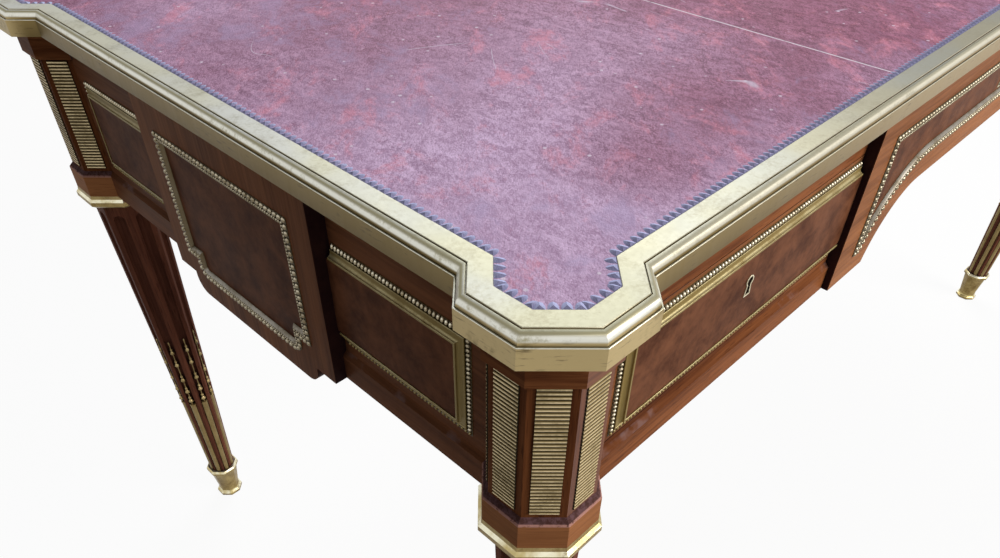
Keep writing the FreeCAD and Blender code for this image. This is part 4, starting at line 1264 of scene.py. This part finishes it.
def foot():
    corner = 1 / cos(pi / leg_sides)
    bm = spun([(width * corner, height) for width, height in foot_profile], leg_sides)
    bmesh.ops.recalc_face_normals(bm, faces=bm.faces)
    sharp = [edge for edge in bm.edges if edge.calc_face_angle(0) > radians(facet_degrees)]
    bmesh.ops.bevel(bm, geom=sharp, offset=facet_bevel, offset_type="OFFSET", affect="EDGES", segments=1,
                    profile=0.5, material=-1, clamp_overlap=True)
    return bm


half_facet = Matrix.Rotation(pi / leg_sides, 4, "Z")
for end, side in (("front", -1), ("back", 1)):
    for hand, across in (("left", -1), ("right", 1)):
        spot = stood((across * leg_x, side * leg_y, 0), half_facet)
        cup = assembled(f"foot_{end}_{hand}", "frame", [cast_gilt], "gilt_brass", (foot(), [spot]), sharp=25)
        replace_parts(cup, f"sabot_{end}_{hand}")

# %% [markdown]
# ## Chandelles
# Brass rods fill the lower flutes of the legs, and a chain of small husks grows out of each rod. A rod is a
# tapered cylinder, flattened; the chain is one outline spun round its own line. Both lie along the leg's
# sloping face, so each is drawn once and placed on the eight faces of the four legs.

# %% Chandelles
taper_low, taper_high = 62.0, 553.0
taper_low_apothem, taper_high_apothem = 17.0, 32.5
rod_top, rod_start, rod_sides = 155.0, -3.0, 14
rod_low_half, rod_top_half, rod_flat, rod_sink = 3.6, 4.4, 0.68, 0.9
cap_half, cap_height, cap_narrowing, cap_flat = 4.7, 1.6, 0.9, rod_flat * 1.15
husk_places = (4.0, 23.0, 46.0, 75.0, 98.0)
husk_low, husk_high = 3.7, 2.6
husk_outline = [(0.2, -1.2), (0.6, 0.0), (1.0, 2.2), (0.8, 4.2), (0.36, 6.2), (0.5, 8.0), (0.62, 9.6),
                (0.2, 12.0)]
husk_lift = 1.4
chain_length, chain_spin = 123.0, 10
chain_root = [(0.0, -1.0), (1.4, -1.0)]
chain_tip = [(0.7, chain_length - 6), (1.1, chain_length - 3), (0.0, chain_length)]


def flat_cone(bm, middle, low_half, high_half, length, flat):
    place = Matrix.Translation((0, -rod_sink, middle)) @ Matrix.Diagonal((1, flat, 1, 1))
    bmesh.ops.create_cone(bm, cap_ends=True, segments=rod_sides, radius1=low_half, radius2=high_half,
                          depth=length, matrix=place)


def rod():
    """A tapered rod and its cap."""
    bm = bmesh.new()
    flat_cone(bm, (rod_top + rod_start) / 2, rod_low_half, rod_top_half, rod_top - rod_start, rod_flat)
    flat_cone(bm, rod_top, cap_half, cap_half * cap_narrowing, cap_height, cap_flat)
    return bm


def husk_chain():
    """The chain of husks, spun from its outline; the husks get smaller upwards."""
    points = chain_root[:]
    for height in husk_places:
        widest = husk_low + (husk_high - husk_low) * height / chain_length
        points += [(width * widest, height + step + husk_lift) for width, step in husk_outline]
    points += chain_tip
    return spun([(width, height + rod_top) for width, height in points], chain_spin)


def chandelle_places():
    """The matrix of every flute: x across it, y out of the face and z up along the slope."""
    slope = (taper_high_apothem - taper_low_apothem) / (taper_high - taper_low)
    places = []
    for x, y in ((-leg_x, -leg_y), (leg_x, -leg_y), (-leg_x, leg_y), (leg_x, leg_y)):
        for face in range(leg_sides):
            turn = face * 2 * pi / leg_sides
            away = Vector((cos(turn), sin(turn), 0))
            up = (away * slope + Vector((0, 0, 1))).normalized()
            out = (away - Vector((0, 0, slope))).normalized()
            start = Vector((x, y, taper_low)) + away * taper_low_apothem
            places.append(stood(start, axes(out.cross(up), out, up)))
    return places


flutes = chandelle_places()
chandelles = assembled("flute_chandelles", "frame", [rod_gilt], "gilt_brass", (rod(), flutes),
                       (husk_chain(), flutes), sharp=40)
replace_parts(chandelles, "chandelles")
